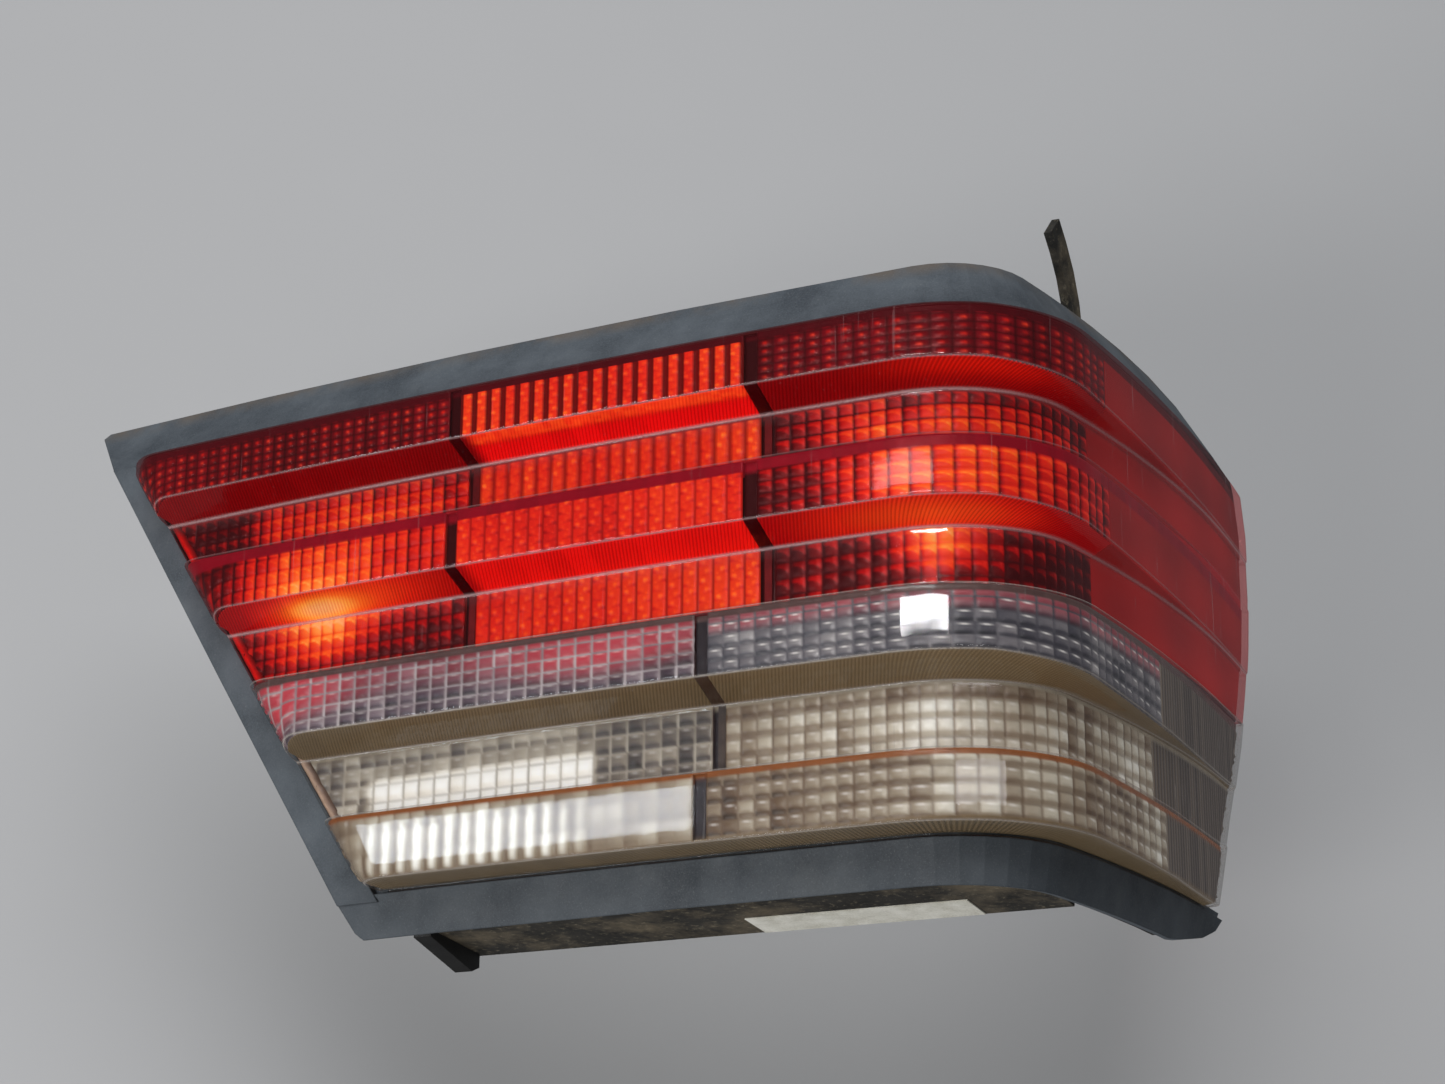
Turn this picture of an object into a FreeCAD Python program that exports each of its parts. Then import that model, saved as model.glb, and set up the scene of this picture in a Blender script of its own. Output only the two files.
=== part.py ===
import FreeCAD, Part
import math
import os
from FreeCAD import Vector as V, Placement, Rotation

# Rear combination lamp for the left rear corner of a saloon, millimetres.
# Z is up in the car, the lens faces -Y, the inner slanted end is at +X and the
# wrap-around end at -X. The origin is the middle of the four fixing studs, in
# the plane of the rear wall's outer face.
#
# Lens surfaces are placed with three numbers: s, the distance along the lens
# seen from above (0 where the corner starts, negative towards the inner end),
# out, the distance outward from the recessed bands, and low, the distance
# below the middle of the lens.

doc = FreeCAD.newDocument("TailLamp")
sheet = doc.addObject("Spreadsheet::Sheet", "Sizes")

SIZES = [
    ("lens_half_height", 85.0), ("lens_rise", 13.2), ("lens_wall", 2.6),
    ("flat_bow_radius", 2850.0), ("corner_radius", 44.7), ("corner_degrees", 80.3), ("side_bow_radius", 667.0),
    ("rise_full_to", 27.0), ("rise_ends_at", 245.0),
    ("ridge_one", 60.05), ("step_one", 41.06), ("ridge_two", 13.74), ("step_two", -8.3),
    ("ridge_three", -36.6), ("step_three", -60.7), ("ridge_drop", 6.2),
    ("origin_from_corner", 105.0), ("rear_depth", 50.0), ("shell_wall", 3.0), ("side_depth", 36.0),
    ("flange_low_edge", 109.6), ("flange_low_back", 14.5), ("flange_high_edge", 100.0), ("flange_high_back", 7.7),
    ("slant_foot", 255.8), ("slant_rate", 0.68), ("flange_side_width", 14.4),
    ("opening_half_height", 58.0), ("opening_side", 2.0),
    ("stud_pitch_wide", 160.0), ("stud_pitch_high", 146.0), ("stud_radius", 3.0), ("stud_length", 22.0), ("stud_neck_radius", 4.3),
    ("stud_collar_radius", 6.0), ("stud_collar_height", 1.6),
    ("carrier_lap", 7.0), ("carrier_thick", 3.0), ("carrier_seal_thick", 2.0), ("carrier_seal_width", 4.0), ("carrier_gap", 0.2),
    ("bulb_radius", 12.6), ("bulb_neck_radius", 7.2), ("base_radius", 7.5), ("base_length", 18.0),
    ("base_pin_radius", 1.0), ("base_pin_reach", 8.8), ("contact_radius", 3.2), ("contact_height", 0.9),
    ("socket_radius", 11.0), ("socket_bore", 7.58), ("socket_length", 17.0), ("pin_track_radius", 9.2),
    ("bridge_thick", 3.0), ("screw_shank_radius", 3.0), ("screw_hole_radius", 3.06), ("screw_shank_length", 20.0),
    ("knob_radius", 9.0), ("knob_height", 9.0), ("post_radius", 6.0), ("post_height", 6.0),
    ("divider_thick", 2.6), ("strip_thick", 3.0), ("amber_thick", 1.6),
    ("gasket_thick", 5.0), ("gasket_width", 12.0), ("label_thick", 0.4), ("label_wide", 81.0), ("label_tall", 17.0),
    ("tab_wide", 7.0), ("tab_tall", 7.4), ("shield_reach", 42.0), ("shield_top", 92.8), ("shield_slope", 0.1),
    ("plug_wide", 34.0), ("plug_tall", 16.0), ("plug_deep", 14.0), ("plug_wall", 1.6), ("pin_half", 0.6), ("pin_length", 9.0),
    ("dish_radius", 34.0), ("dish_hole", 15.0), ("dish_wall", 2.0), ("lens_end_slope", 10.5), ("rim_deep", 6.0),
]
for row, (alias, value) in enumerate(SIZES, start=1):
    sheet.set("A%d" % row, alias)
    sheet.set("B%d" % row, str(value))
    sheet.setAlias("B%d" % row, alias)
doc.recompute()


def size(alias):
    return float(sheet.get(alias))


FLAT, CORNER, SIDE = size("flat_bow_radius"), size("corner_radius"), size("side_bow_radius")
TURN = math.radians(size("corner_degrees"))
ARC = CORNER * TURN
X0, Y0 = size("origin_from_corner"), size("rear_depth")
HALF, RISE, WALL = size("lens_half_height"), size("lens_rise"), size("lens_wall")


def heading(s):
    if s < 0:
        return s / FLAT
    if s < ARC:
        return s / CORNER
    return TURN + (s - ARC) / SIDE


def plan(s, out):
    a = heading(s)
    if s < 0:
        cx, cy, r = 0.0, -FLAT, FLAT
    elif s < ARC:
        cx, cy, r = 0.0, -CORNER, CORNER
    else:
        cx = (CORNER - SIDE) * math.sin(TURN)
        cy = -CORNER + (CORNER - SIDE) * math.cos(TURN)
        r = SIDE
    return cx + (r + out) * math.sin(a), cy + (r + out) * math.cos(a)


def at(s, out, low):
    x, n = plan(s, out)
    return V(-x - X0, -n - Y0, -low)


def place(x, n, low):
    return V(-x - X0, -n - Y0, -low)


def fade(s):
    full, end = size("rise_full_to"), size("rise_ends_at")
    if s <= full:
        return 1.0
    return max(0.03, (max(end - s, 0.0) / (end - full)) ** 2)


STATIONS = [-352.0, -264.0, -176.0, -88.0, 0.0, 9.0, 18.0, 27.0, 36.0, 45.0, 54.0, ARC, 78.0, 95.0, 115.0, 140.0, 170.0, 205.0, 256.0]


def loft(profile, first=-352.0, last=256.0, stations=None):
    """Solid through closed profiles; profile(s) gives (low, out) pairs."""
    stops = [s for s in (stations or STATIONS) if first < s < last]
    wires = []
    for s in [first] + stops + [last]:
        pts = [at(s, out, low) for low, out in profile(s)]
        wires.append(Part.makePolygon(pts + [pts[0]]))
    solid = Part.makeLoft(wires, True, True)
    if solid.Volume < 0:
        solid.reverse()
    return solid


def feature(label, shape):
    obj = doc.addObject("Part::Feature", label)
    obj.Label = label
    if shape.ShapeType != "Solid" and len(shape.Solids) == 1:
        shape = shape.Solids[0]
    obj.Shape = shape
    obj.Placement = Placement()
    return obj


def prism(points, direction):
    """Extrusion of a closed polygon."""
    return Part.Face(Part.makePolygon(points + [points[0]])).extrude(direction)


BIG = 400.0


def slant(low, extra=0.0):
    """Distance from the corner start of the slanted inner end of the lens."""
    return -(size("slant_foot") + size("slant_rate") * low) + extra


def inner_cut(extra):
    """Everything beyond the slanted inner end, moved outward by -extra."""
    a, b = 150.0, -150.0
    pts = [place(slant(a, extra), BIG, a), place(slant(b, extra), BIG, b), place(-700.0, BIG, b), place(-700.0, BIG, a)]
    return prism(pts, V(0, 2 * BIG, 0))


END = [(150.0, 205.0), (88.0, 236.0), (84.0, 243.0), (70.0, 250.5), (45.0, 250.5), (22.0, 244.0), (4.0, 235.0), (-20.0, 221.0), (-50.0, 200.0), (-84.0, 180.0), (-94.0, 168.0), (-104.0, 148.0), (-150.0, 100.0)]


FLANGE_END = [(150.0, 205.0), (88.0, 236.0), (80.0, 246.0), (0.0, 240.0), (-60.0, 214.0), (-81.0, 205.0), (-90.0, 194.0), (-94.5, 181.0), (-98.5, 160.0), (-101.0, 140.0), (-150.0, 90.0)]


FRAME_LEFT = [(150.0, -330.0), (109.6, -340.8), (107.4, -342.9), (88.0, -326.7), (-97.5, -206.8), (-100.0, -203.5), (-150.0, -180.0)]


def left_cut(line):
    """Everything beyond a line of (low, x) points at the inner end."""
    pts = [place(x, BIG, low) for low, x in line] + [place(-700.0, BIG, line[-1][0]), place(-700.0, BIG, line[0][0])]
    return prism(pts, V(0, 2 * BIG, 0))


def outer_cut(back, ends=END):
    """Everything beyond the raked outer end, moved back by the given amount."""
    pts = []
    for low, s in ends:
        x, n = plan(s, 0.0)
        pts.append(V(-X0 - BIG, -(n + back) - Y0, -low))
    pts += [V(-X0 - BIG, 700.0, 150.0), V(-X0 - BIG, 700.0, -150.0)]
    return prism(pts, V(2 * BIG, 0, 0))


R1, S1, R2, S2, R3, S3 = [size(k) for k in ("ridge_one", "step_one", "ridge_two", "step_two", "ridge_three", "step_three")]
DROP = size("ridge_drop")


FOOT = -5.6


def red_outer(s):
    f = fade(s)
    d, k = RISE * f, DROP * f
    return [(HALF, FOOT), (HALF, d), (R1 + k, d), (R1, 0.0), (S1, 0.0), (S1, d), (R2 + k, d), (R2, 0.0), (S2 + 0.05, 0.0), (S2 + 0.05, FOOT)]


def red_inner(s):
    f = fade(s)
    d, k = RISE * f, DROP * f
    w = WALL
    return [(HALF - w, FOOT - 5), (HALF - w, d - w), (R1 + k + 1.6, d - w), (R1 + 1.6, -w), (S1 - w, -w), (S1 - w, d - w), (R2 + k + 1.6, d - w), (R2 + 1.6, -w), (S2 - 1.0, -w), (S2 - 1.0, FOOT - 5)]


def clear_outer(s):
    f = fade(s)
    d, k = RISE * f, DROP * f
    return [(S2, FOOT), (S2, d), (R3 + k, d), (R3, 0.0), (S3, 0.0), (S3, d), (-HALF + 0.7, d), (-HALF, FOOT)]


def clear_inner(s):
    f = fade(s)
    d, k = RISE * f, DROP * f
    w = WALL
    return [(S2 - w, FOOT - 5), (S2 - w, d - w), (R3 + k + 1.6, d - w), (R3 + 1.6, -w), (S3 - w, -w), (S3 - w, d - w), (-HALF + 0.7 + w, d - w), (-HALF + w, FOOT - 5)]


def trimmed(solid, inner=0.0, back=0.0):
    return solid.cut(inner_cut(inner)).cut(outer_cut(back))


def wedge(extra):
    """Slopes the inner end of the raised bands back towards the flange."""
    rings = []
    for low in (120.0, 0.0, -120.0):
        a = slant(low) + extra
        pts = [at(a, -0.6, low), at(a + size("lens_end_slope"), RISE + 0.5, low), at(a + size("lens_end_slope"), 40.0, low), at(a - 60.0, 40.0, low), at(a - 60.0, -0.6, low)]
        rings.append(Part.makePolygon(pts + [pts[0]]))
    solid = Part.makeLoft(rings, True, True)
    if solid.Volume < 0:
        solid.reverse()
    return solid


def cover(outer, inner):
    """A lens with its end walls: the outer form less the inner one."""
    whole = trimmed(loft(outer), 0.6, 0.6).cut(wedge(0.6))
    room = trimmed(loft(inner), 0.6 + WALL, 0.6 + WALL).cut(wedge(0.6 + WALL * 1.25))
    return whole.cut(room)


lens_red = feature("lens_red", cover(red_outer, red_inner))
lens_clear = feature("lens_clear", cover(clear_outer, clear_inner))


# End rim: a thin tan moulding that closes the outer end of the lens.
rim_block = loft(lambda s: [(HALF - 4.0, -6.9), (HALF - 4.0, -6.9 - size("rim_deep")), (-HALF + 4.5, -6.9 - size("rim_deep")), (-HALF + 4.5, -6.9)], 100.0, 256.0)
end_rim = feature("end_rim", rim_block.cut(outer_cut(0.1)).common(outer_cut(1.45)))


# Housing: walls and rear wall, then the flange that frames the lens.
def shell_block(front, rear, side, half):
    """Plan region between the lens curve and the rear, as a block."""
    mid = ARC / 2
    first, last = -352.0, 256.0
    arcs = [Part.Arc(at(first, front, 0), at(first / 2, front, 0), at(0, front, 0)).toShape(),
            Part.Arc(at(0, front, 0), at(mid, front, 0), at(ARC - 1e-9, front, 0)).toShape(),
            Part.Arc(at(ARC, front, 0), at((ARC + last) / 2, front, 0), at(last, front, 0)).toShape()]
    back = [at(last, front, 0), at(last, side, 0), at(170.0, side, 0), at(100.0, side, 0)]
    xs, _ = plan(100.0, side)
    back += [place(xs, rear, 0), place(plan(first, front)[0], rear, 0), at(first, front, 0)]
    edges = arcs + Part.makePolygon(back).Edges
    face = Part.Face(Part.Wire(Part.__sortEdges__(edges)))
    block = face.extrude(V(0, 0, 2 * half))
    block.translate(V(0, 0, -half))
    return block


T = size("shell_wall")
REAR = -size("rear_depth")
SIDEB = -size("side_depth")
outer_block = shell_block(-6.3, REAR, SIDEB, 83.5).cut(inner_cut(1.5)).cut(outer_cut(1.6))
cavity = shell_block(-2.0, REAR + T, SIDEB + T, 83.5 - T).cut(inner_cut(1.5 + T)).cut(outer_cut(1.6 + T + 2.0))
shell = outer_block.cut(cavity)

FL, FLB, FH, FHB = size("flange_low_edge"), size("flange_low_back"), size("flange_high_edge"), size("flange_high_back")


def low_flange(s):
    return [(81.9, -6.8), (HALF + 0.3, -6.8), (HALF + 0.3, -1.5), (88.0, -1.5), (FL, -FLB), (FL - 1.1, -FLB - 3.0), (84.5, -9.9), (81.9, -9.9)]


def high_flange(s):
    return [(-81.9, -6.8), (-HALF - 0.3, -6.8), (-HALF - 0.3, -4.4), (-FH, -FHB), (-FH + 0.6, -FHB - 3.0), (-84.5, -9.9), (-81.9, -9.9)]


low_part = loft(low_flange).cut(left_cut(FRAME_LEFT)).cut(outer_cut(0.4, FLANGE_END))
high_part = loft(high_flange).cut(left_cut(FRAME_LEFT)).cut(outer_cut(0.0, FLANGE_END))
wires = []
for low in (88.0, 0.0, -88.0):
    a = FLAT * math.asin(slant(low) / FLAT)
    w = size("flange_side_width") + 12.0
    front = -1.5 - 2.9 * (88.0 - low) / 173.3
    pts = [at(a - w, front, low), at(a - 0.4, front, low), at(a - 0.4, -7.0, low), at(a + 3.2, -7.0, low), at(a + 3.2, -10.4, low), at(a - w, -5.9, low)]
    wires.append(Part.makePolygon(pts + [pts[0]]))
side_part = Part.makeLoft(wires, True, True)
if side_part.Volume < 0:
    side_part.reverse()
side_part = side_part.cut(left_cut(FRAME_LEFT))

opening_half = size("opening_half_height")


def rear_outline(half, extra, right):
    """Outline of the opening in the rear wall, seen from behind."""
    return [(slant(half, 12.0) - extra, half), (right + extra, half), (right + extra, -half), (slant(-half, 12.0) - extra, -half)]


def rear_prism(points, near, far):
    """Prism between two depths behind the lens, from (x, low) points."""
    pts = [place(x, near, low) for x, low in points]
    return prism(pts, V(0, near - far, 0))


opening = rear_prism(rear_outline(opening_half, 0.0, -size("opening_side")), REAR + 10.0, REAR - 10.0)
housing_shape = shell.fuse([low_part, high_part, side_part]).removeSplitter().cut(opening)
SX, SZ = size("stud_pitch_wide") / 2, size("stud_pitch_high") / 2
for sx in (-SX, SX):
    for sz in (-SZ, SZ):
        housing_shape = housing_shape.cut(Part.makeCylinder(size("stud_neck_radius"), 20.0, V(sx, -10.0, sz), V(0, 1, 0)))
housing = feature("housing", housing_shape)


# Dividers between the compartments.
def upright(label, s, low_from, low_to, offset=0.0):
    block = loft(lambda q: [(low_to, -WALL - 0.3), (low_from, -WALL - 0.3), (low_from, -41.0), (low_to, -41.0)], s - size("divider_thick") / 2, s + size("divider_thick") / 2)
    return feature(label, block)


divider_inner = upright("divider_inner", -160.5, -6.2, 80.2)
divider_outer = upright("divider_outer", -47.0, -6.2, 80.2)
divider_clear = upright("divider_clear", -63.5, -80.2, -11.0)
shelf_shape = loft(lambda q: [(-6.4, -WALL - 3.8), (-10.8, -WALL - 3.8), (-10.8, -36.0), (-6.4, -36.0)], -250.0, 0.0)
shelf_shape = shelf_shape.cut(inner_cut(1.5 + T + 0.1))
divider_level = feature("divider_level", shelf_shape)


# Reflex strips behind the middle of the red lens, one behind each band.
def strip(label, low_top, low_bottom, out, first, last):
    t = size("strip_thick")
    return feature(label, loft(lambda q: [(low_top, out), (low_bottom, out), (low_bottom, out - t), (low_top, out - t)], first, last))


GAP = 0.3
A, B = -160.5 + 2.2, -47.0 - 2.2
reflex_strips = [
    strip("reflex_strip_one", HALF - WALL - 2.0, R1 + DROP + 2.2, RISE - WALL - GAP, A, B),
    strip("reflex_strip_two", R1 + 0.6, S1 + 0.4, -WALL - GAP, A, B),
    strip("reflex_strip_three", S1 - WALL - 0.8, R2 + DROP + 2.2, RISE - WALL - GAP, A, B),
    strip("reflex_strip_four", R2 + 0.6, S2 + 5.0, -WALL - GAP, A, B),
]


# Amber strips behind the steps of the clear lens.
def amber(label, low, first, last):
    t = size("amber_thick")
    def prof(s):
        d = RISE * fade(s)
        return [(low - WALL - 0.2, d - WALL - 0.4), (low - WALL - 0.2 - t, d - WALL - 0.4), (low - WALL - 0.2 - t, -WALL - 0.4 - 3.0), (low - WALL - 0.2, -WALL - 0.4 - 3.0)]
    return feature(label, loft(prof, first, last))


amber_strip_long = amber("amber_strip_long", S3, -195.0, 60.0)
amber_strip_short = amber("amber_strip_short", S2, -229.0, -150.0)
divider_clear.Shape = divider_clear.Shape.cut(amber_strip_long.Shape)


# Reflectors: blocks with a round bowl and a hole that the bulb passes.
def reflector(label, x1, x2, low1, low2, bx, blow, slanted=False):
    box = rear_prism([(x1, low1), (x2, low1), (x2, low2), (x1, low2)], -20.5, -45.5)
    if slanted:
        box = box.cut(inner_cut(1.5 + T + 0.3))
    r, w = size("dish_radius"), size("dish_wall")
    c = place(bx, -20.5 + 11.0, blow)
    face = box.cut(rear_prism([(-400, -200), (400, -200), (400, 200), (-400, 200)], -20.5 - w, -60.0))
    dish = Part.makeSphere(r + w, c).common(box)
    hole = Part.makeCylinder(size("dish_hole"), 60.0, place(bx, 0.0, blow), V(0, 1, 0))
    shape = face.fuse(dish).cut(Part.makeSphere(r, c)).cut(hole)
    return feature(label, shape)


FOG = (-228.0, 25.0)
REVERSE = (-130.0, -41.0)
TURNLAMP = (-20.0, -41.0)
TAIL = (-20.0, 11.0)
BRAKE = (-20.0, 42.5)
reflector_fog = reflector("reflector_fog", -298.0, -163.0, -5.0, 79.0, FOG[0], FOG[1], True)
reflector_reverse = reflector("reflector_reverse", -240.0, -66.0, -79.0, -11.6, REVERSE[0], REVERSE[1], True)
reflector_turn = reflector("reflector_turn", -61.0, 6.0, -79.0, -11.6, TURNLAMP[0], TURNLAMP[1])
tail_box = rear_prism([(-44.6, -5.0), (6.0, -5.0), (6.0, 79.0), (-44.6, 79.0)], -24.5, -45.5)
tail_dish = tail_box.cut(rear_prism([(-400, -200), (400, -200), (400, 200), (-400, 200)], -24.5 - size("dish_wall"), -60.0))
cups, rooms = [], []
for bx, blow in (TAIL, BRAKE):
    cups.append(Part.makeCone(24.0, 16.2, 21.0, place(bx, -24.5, blow), V(0, 1, 0)).common(tail_box))
    rooms.append(Part.makeCone(22.0, 14.2, 21.2, place(bx, -24.45, blow), V(0, 1, 0)))
tail_dish = tail_dish.fuse(cups)
for room in rooms:
    tail_dish = tail_dish.cut(room)
reflector_tail = feature("reflector_tail", tail_dish.removeSplitter())


# Wrap liner: a plain bright liner behind the side of the lens.
wrap_liner = feature("wrap_liner", loft(lambda q: [(79.5, -24.0), (-79.5, -24.0), (-79.5, -25.6), (79.5, -25.6)], 84.0, 256.0).cut(outer_cut(1.6 + T + 3.0)))


# Gasket strips behind the flange.
def gasket(label, pts, first, last):
    return feature(label, loft(lambda q: pts, first, last).cut(inner_cut(-size("flange_side_width") + 5.0)).cut(outer_cut(6.0)))


g = size("gasket_thick")
gasket_low = gasket("gasket_low", [(90.0, -12.35), (104.0, -16.85), (104.0, -16.85 - g), (90.0, -12.35 - g)], -352.0, 99.0)
gasket_wrap = gasket("gasket_wrap", [(90.0, -12.35), (104.0, -16.85), (104.0, -16.85 - g), (90.0, -12.35 - g)], 124.0, 256.0)
gasket_high = gasket("gasket_high", [(-86.0, -10.3), (-97.0, -11.1), (-97.0, -11.1 - g), (-86.0, -10.3 - g)], -352.0, 256.0)
wires = []
for low in (80.0, 0.0, -78.0):
    a = FLAT * math.asin(slant(low) / FLAT)
    pts = [at(a - 10.0, -8.6, low), at(a - 2.0, -10.0, low), at(a - 2.0, -10.0 - g, low), at(a - 10.0, -8.6 - g, low)]
    wires.append(Part.makePolygon(pts + [pts[0]]))
gasket_inner = feature("gasket_inner", Part.makeLoft(wires, True, True))


# The end of the low gasket has come unstuck and stands out past the flange.
tail_pts = [(106.0, 97.0, -17.3), (111.0, 104.0, -19.6), (113.0, 111.0, -21.0), (112.0, 119.0, -21.2), (108.0, 128.0, -21.0), (101.5, 136.0, -20.4), (95.0, 141.5, -19.6)]
tail_path = [at(s, out, low) for s, low, out in tail_pts]
half_w, half_t = 5.0, 1.4
sections = []
for i, p in enumerate(tail_path):
    a = tail_path[max(i - 1, 0)]
    b = tail_path[min(i + 1, len(tail_path) - 1)]
    along = (b - a).normalize()
    s = tail_pts[i][0]
    normal = V(-math.sin(heading(s)), -math.cos(heading(s)), 0.0)
    wide = along.cross(normal).normalize()
    thin = wide.cross(along).normalize()
    ring = [p + wide * half_w + thin * half_t, p - wide * half_w + thin * half_t, p - wide * half_w - thin * half_t, p + wide * half_w - thin * half_t]
    sections.append(Part.makePolygon(ring + [ring[0]]))
seal_strip_end = feature("seal_strip_end", Part.makeLoft(sections, True, True))


# Parametric pieces: primitives bound to the sheet.
def bind(obj, **props):
    for prop, expr in props.items():
        obj.setExpression(prop, expr)
    return obj


def cylinder(name, radius, height, base, axis):
    obj = doc.addObject("Part::Cylinder", name)
    bind(obj, Radius=radius, Height=height)
    obj.Placement = Placement(base, Rotation(V(0, 0, 1), axis))
    return obj


def box(name, length, width, height, corner):
    obj = doc.addObject("Part::Box", name)
    bind(obj, Length=length, Width=width, Height=height)
    obj.Placement = Placement(corner, Rotation())
    return obj


def joined(label, parts):
    obj = doc.addObject("Part::MultiFuse", label)
    obj.Shapes = parts
    obj.Label = label
    return obj


def cut(label, base, tool):
    obj = doc.addObject("Part::Cut", label)
    obj.Base, obj.Tool = base, tool
    obj.Label = label
    return obj


BACK = V(0, 1, 0)
exports = []

# Studs: four threaded studs with collars, in one node.
studs = []
for i, (sx, sz) in enumerate(((-SX, -SZ), (SX, -SZ), (-SX, SZ), (SX, SZ))):
    studs.append(joined("stud_%d" % i, [
        cylinder("stud_shank_%d" % i, "Sizes.stud_radius", "Sizes.stud_length", V(sx, -T, sz), BACK),
        cylinder("stud_neck_%d" % i, "Sizes.stud_neck_radius", "Sizes.shell_wall", V(sx, -T, sz), BACK),
        cylinder("stud_collar_%d" % i, "Sizes.stud_collar_radius", "Sizes.stud_collar_height", V(sx, -T - size("stud_collar_height"), sz), BACK)]))
doc.recompute()
stud_group = doc.addObject("Part::Compound", "studs")
stud_group.Links = studs
stud_group.Label = "studs"


# Carrier: a sketched plate, padded, with round pockets for the sockets.
def sketched_plate(label, outline, holes, thick_alias, depth):
    body = doc.addObject("PartDesign::Body", label)
    body.Label = label
    plane = [f for f in body.Origin.OriginFeatures if f.Role == "XZ_Plane"][0]
    sk = body.newObject("Sketcher::SketchObject", label + "_outline")
    sk.AttachmentSupport = [(plane, "")]
    sk.MapMode = "FlatFace"
    pts = [V(-x - X0, -low, 0) for x, low in outline]
    for a, b in zip(pts, pts[1:] + pts[:1]):
        sk.addGeometry(Part.LineSegment(a, b), False)
    for x, low, r in holes:
        sk.addGeometry(Part.Circle(V(-x - X0, -low, 0), V(0, 0, 1), r), False)
    pad = body.newObject("PartDesign::Pad", label + "_pad")
    pad.Profile = sk
    pad.setExpression("Length", "Sizes." + thick_alias)
    pad.Reversed = True
    body.Placement = Placement(V(0, depth, 0), Rotation())
    return body


G, ST, CT = size("carrier_gap"), size("carrier_seal_thick"), size("carrier_thick")
plate_y = G + ST
lap = size("carrier_lap")
BULBS = {"fog": FOG, "reverse": REVERSE, "turn": TURNLAMP, "tail": TAIL, "brake": BRAKE}
SCREWS = {"inner": (-138.0, 30.0), "outer": (-70.0, 30.0)}
holes = [(x, low, size("socket_radius")) for x, low in BULBS.values()] + [(x, low, size("screw_hole_radius") + 0.2) for x, low in SCREWS.values()]
carrier = sketched_plate("bulb_carrier", rear_outline(opening_half + lap, lap, -size("opening_side")), holes, "carrier_thick", plate_y)
doc.recompute()

ring_out = rear_prism(rear_outline(opening_half + lap - 0.5, lap - 0.5, -size("opening_side")), REAR - G, REAR - G - ST)
ring_in = rear_prism(rear_outline(opening_half + lap - 0.5 - size("carrier_seal_width"), lap - 0.5 - size("carrier_seal_width"), -size("opening_side")), REAR, REAR - 10.0)
carrier_seal = feature("carrier_seal", ring_out.cut(ring_in))

# Sockets and bulbs.
SL, BL = size("socket_length"), size("base_length")
rise = 4.0          # the socket stands this far in front of the carrier plate
sock_y = plate_y - rise
finals = []
for key, (x, low) in BULBS.items():
    c = place(x, REAR, low)
    # socket: tube with a pin track and two entry slots, closed at the back
    body_ = cylinder("sock_%s_body" % key, "Sizes.socket_radius", "Sizes.socket_length", V(c.x, sock_y, c.z), BACK)
    bore = cylinder("sock_%s_bore" % key, "Sizes.socket_bore", "Sizes.socket_length - 1.6", V(c.x, sock_y, c.z), BACK)
    track = cylinder("sock_%s_track" % key, "Sizes.pin_track_radius", "Sizes.base_pin_radius * 2 + 1.2", V(c.x, sock_y + 7.4, c.z), BACK)
    slot = box("sock_%s_slot" % key, "Sizes.base_pin_radius * 2 + 0.6", "9", "Sizes.pin_track_radius * 2", V(-1.3, 0, -9.2))
    slot.Placement = Placement(V(c.x, sock_y, c.z), Rotation(BACK, 25)).multiply(Placement(V(-1.3, -1.0, -9.2), Rotation()))
    voids = joined("sock_%s_voids" % key, [bore, track, slot])
    sock = cut("socket_%s" % key, body_, voids)
    # base: metal cap with two bayonet pins and a centre contact
    by = sock_y - 3.0
    cap = cylinder("base_%s_cap" % key, "Sizes.base_radius", "Sizes.base_length - 0.6", V(c.x, by, c.z), BACK)
    pin = cylinder("base_%s_pin" % key, "Sizes.base_pin_radius", "Sizes.base_pin_reach * 2", V(c.x, sock_y + 9.0, c.z - size("base_pin_reach")), V(0, 0, 1))
    tip = cylinder("base_%s_tip" % key, "Sizes.contact_radius", "Sizes.contact_height", V(c.x, by + BL - 0.6, c.z), BACK)
    base = joined("bulb_base_%s" % key, [cap, pin, tip])
    # glass: round bulb on a neck
    ball = doc.addObject("Part::Sphere", "glass_%s_ball" % key)
    bind(ball, Radius="Sizes.bulb_radius")
    ball.Placement = Placement(V(c.x, by - 13.6, c.z), Rotation())
    neck = doc.addObject("Part::Cone", "glass_%s_neck" % key)
    bind(neck, Radius1="Sizes.bulb_neck_radius", Radius2="Sizes.bulb_neck_radius + 2.6", Height="8")
    neck.Placement = Placement(V(c.x, by, c.z), Rotation(V(0, 0, 1), V(0, -1, 0)))
    glass = joined("bulb_glass_%s" % key, [ball, neck])
    finals += [sock, base, glass]

# Bridge between the dividers, with two posts that take the thumb screws.
bridge = sketched_plate("screw_bridge", [(-156.8, 56.0), (-48.3, 56.0), (-48.3, 4.0), (-156.8, 4.0)], [(x, low, size("screw_hole_radius")) for x, low in SCREWS.values()], "bridge_thick", REAR + Y0 - 13.0)
doc.recompute()
posts = []
for key, (x, low) in SCREWS.items():
    c = place(x, REAR, low)
    solid = cylinder("post_%s_solid" % key, "Sizes.post_radius", "Sizes.post_height", V(c.x, -10.0, c.z), BACK)
    hole = cylinder("post_%s_hole" % key, "Sizes.screw_hole_radius", "Sizes.post_height", V(c.x, -10.0, c.z), BACK)
    posts.append(cut("post_%s" % key, solid, hole))
post_group = doc.addObject("Part::Compound", "screw_posts")
post_group.Links = posts
post_group.Label = "screw_posts"

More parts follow.
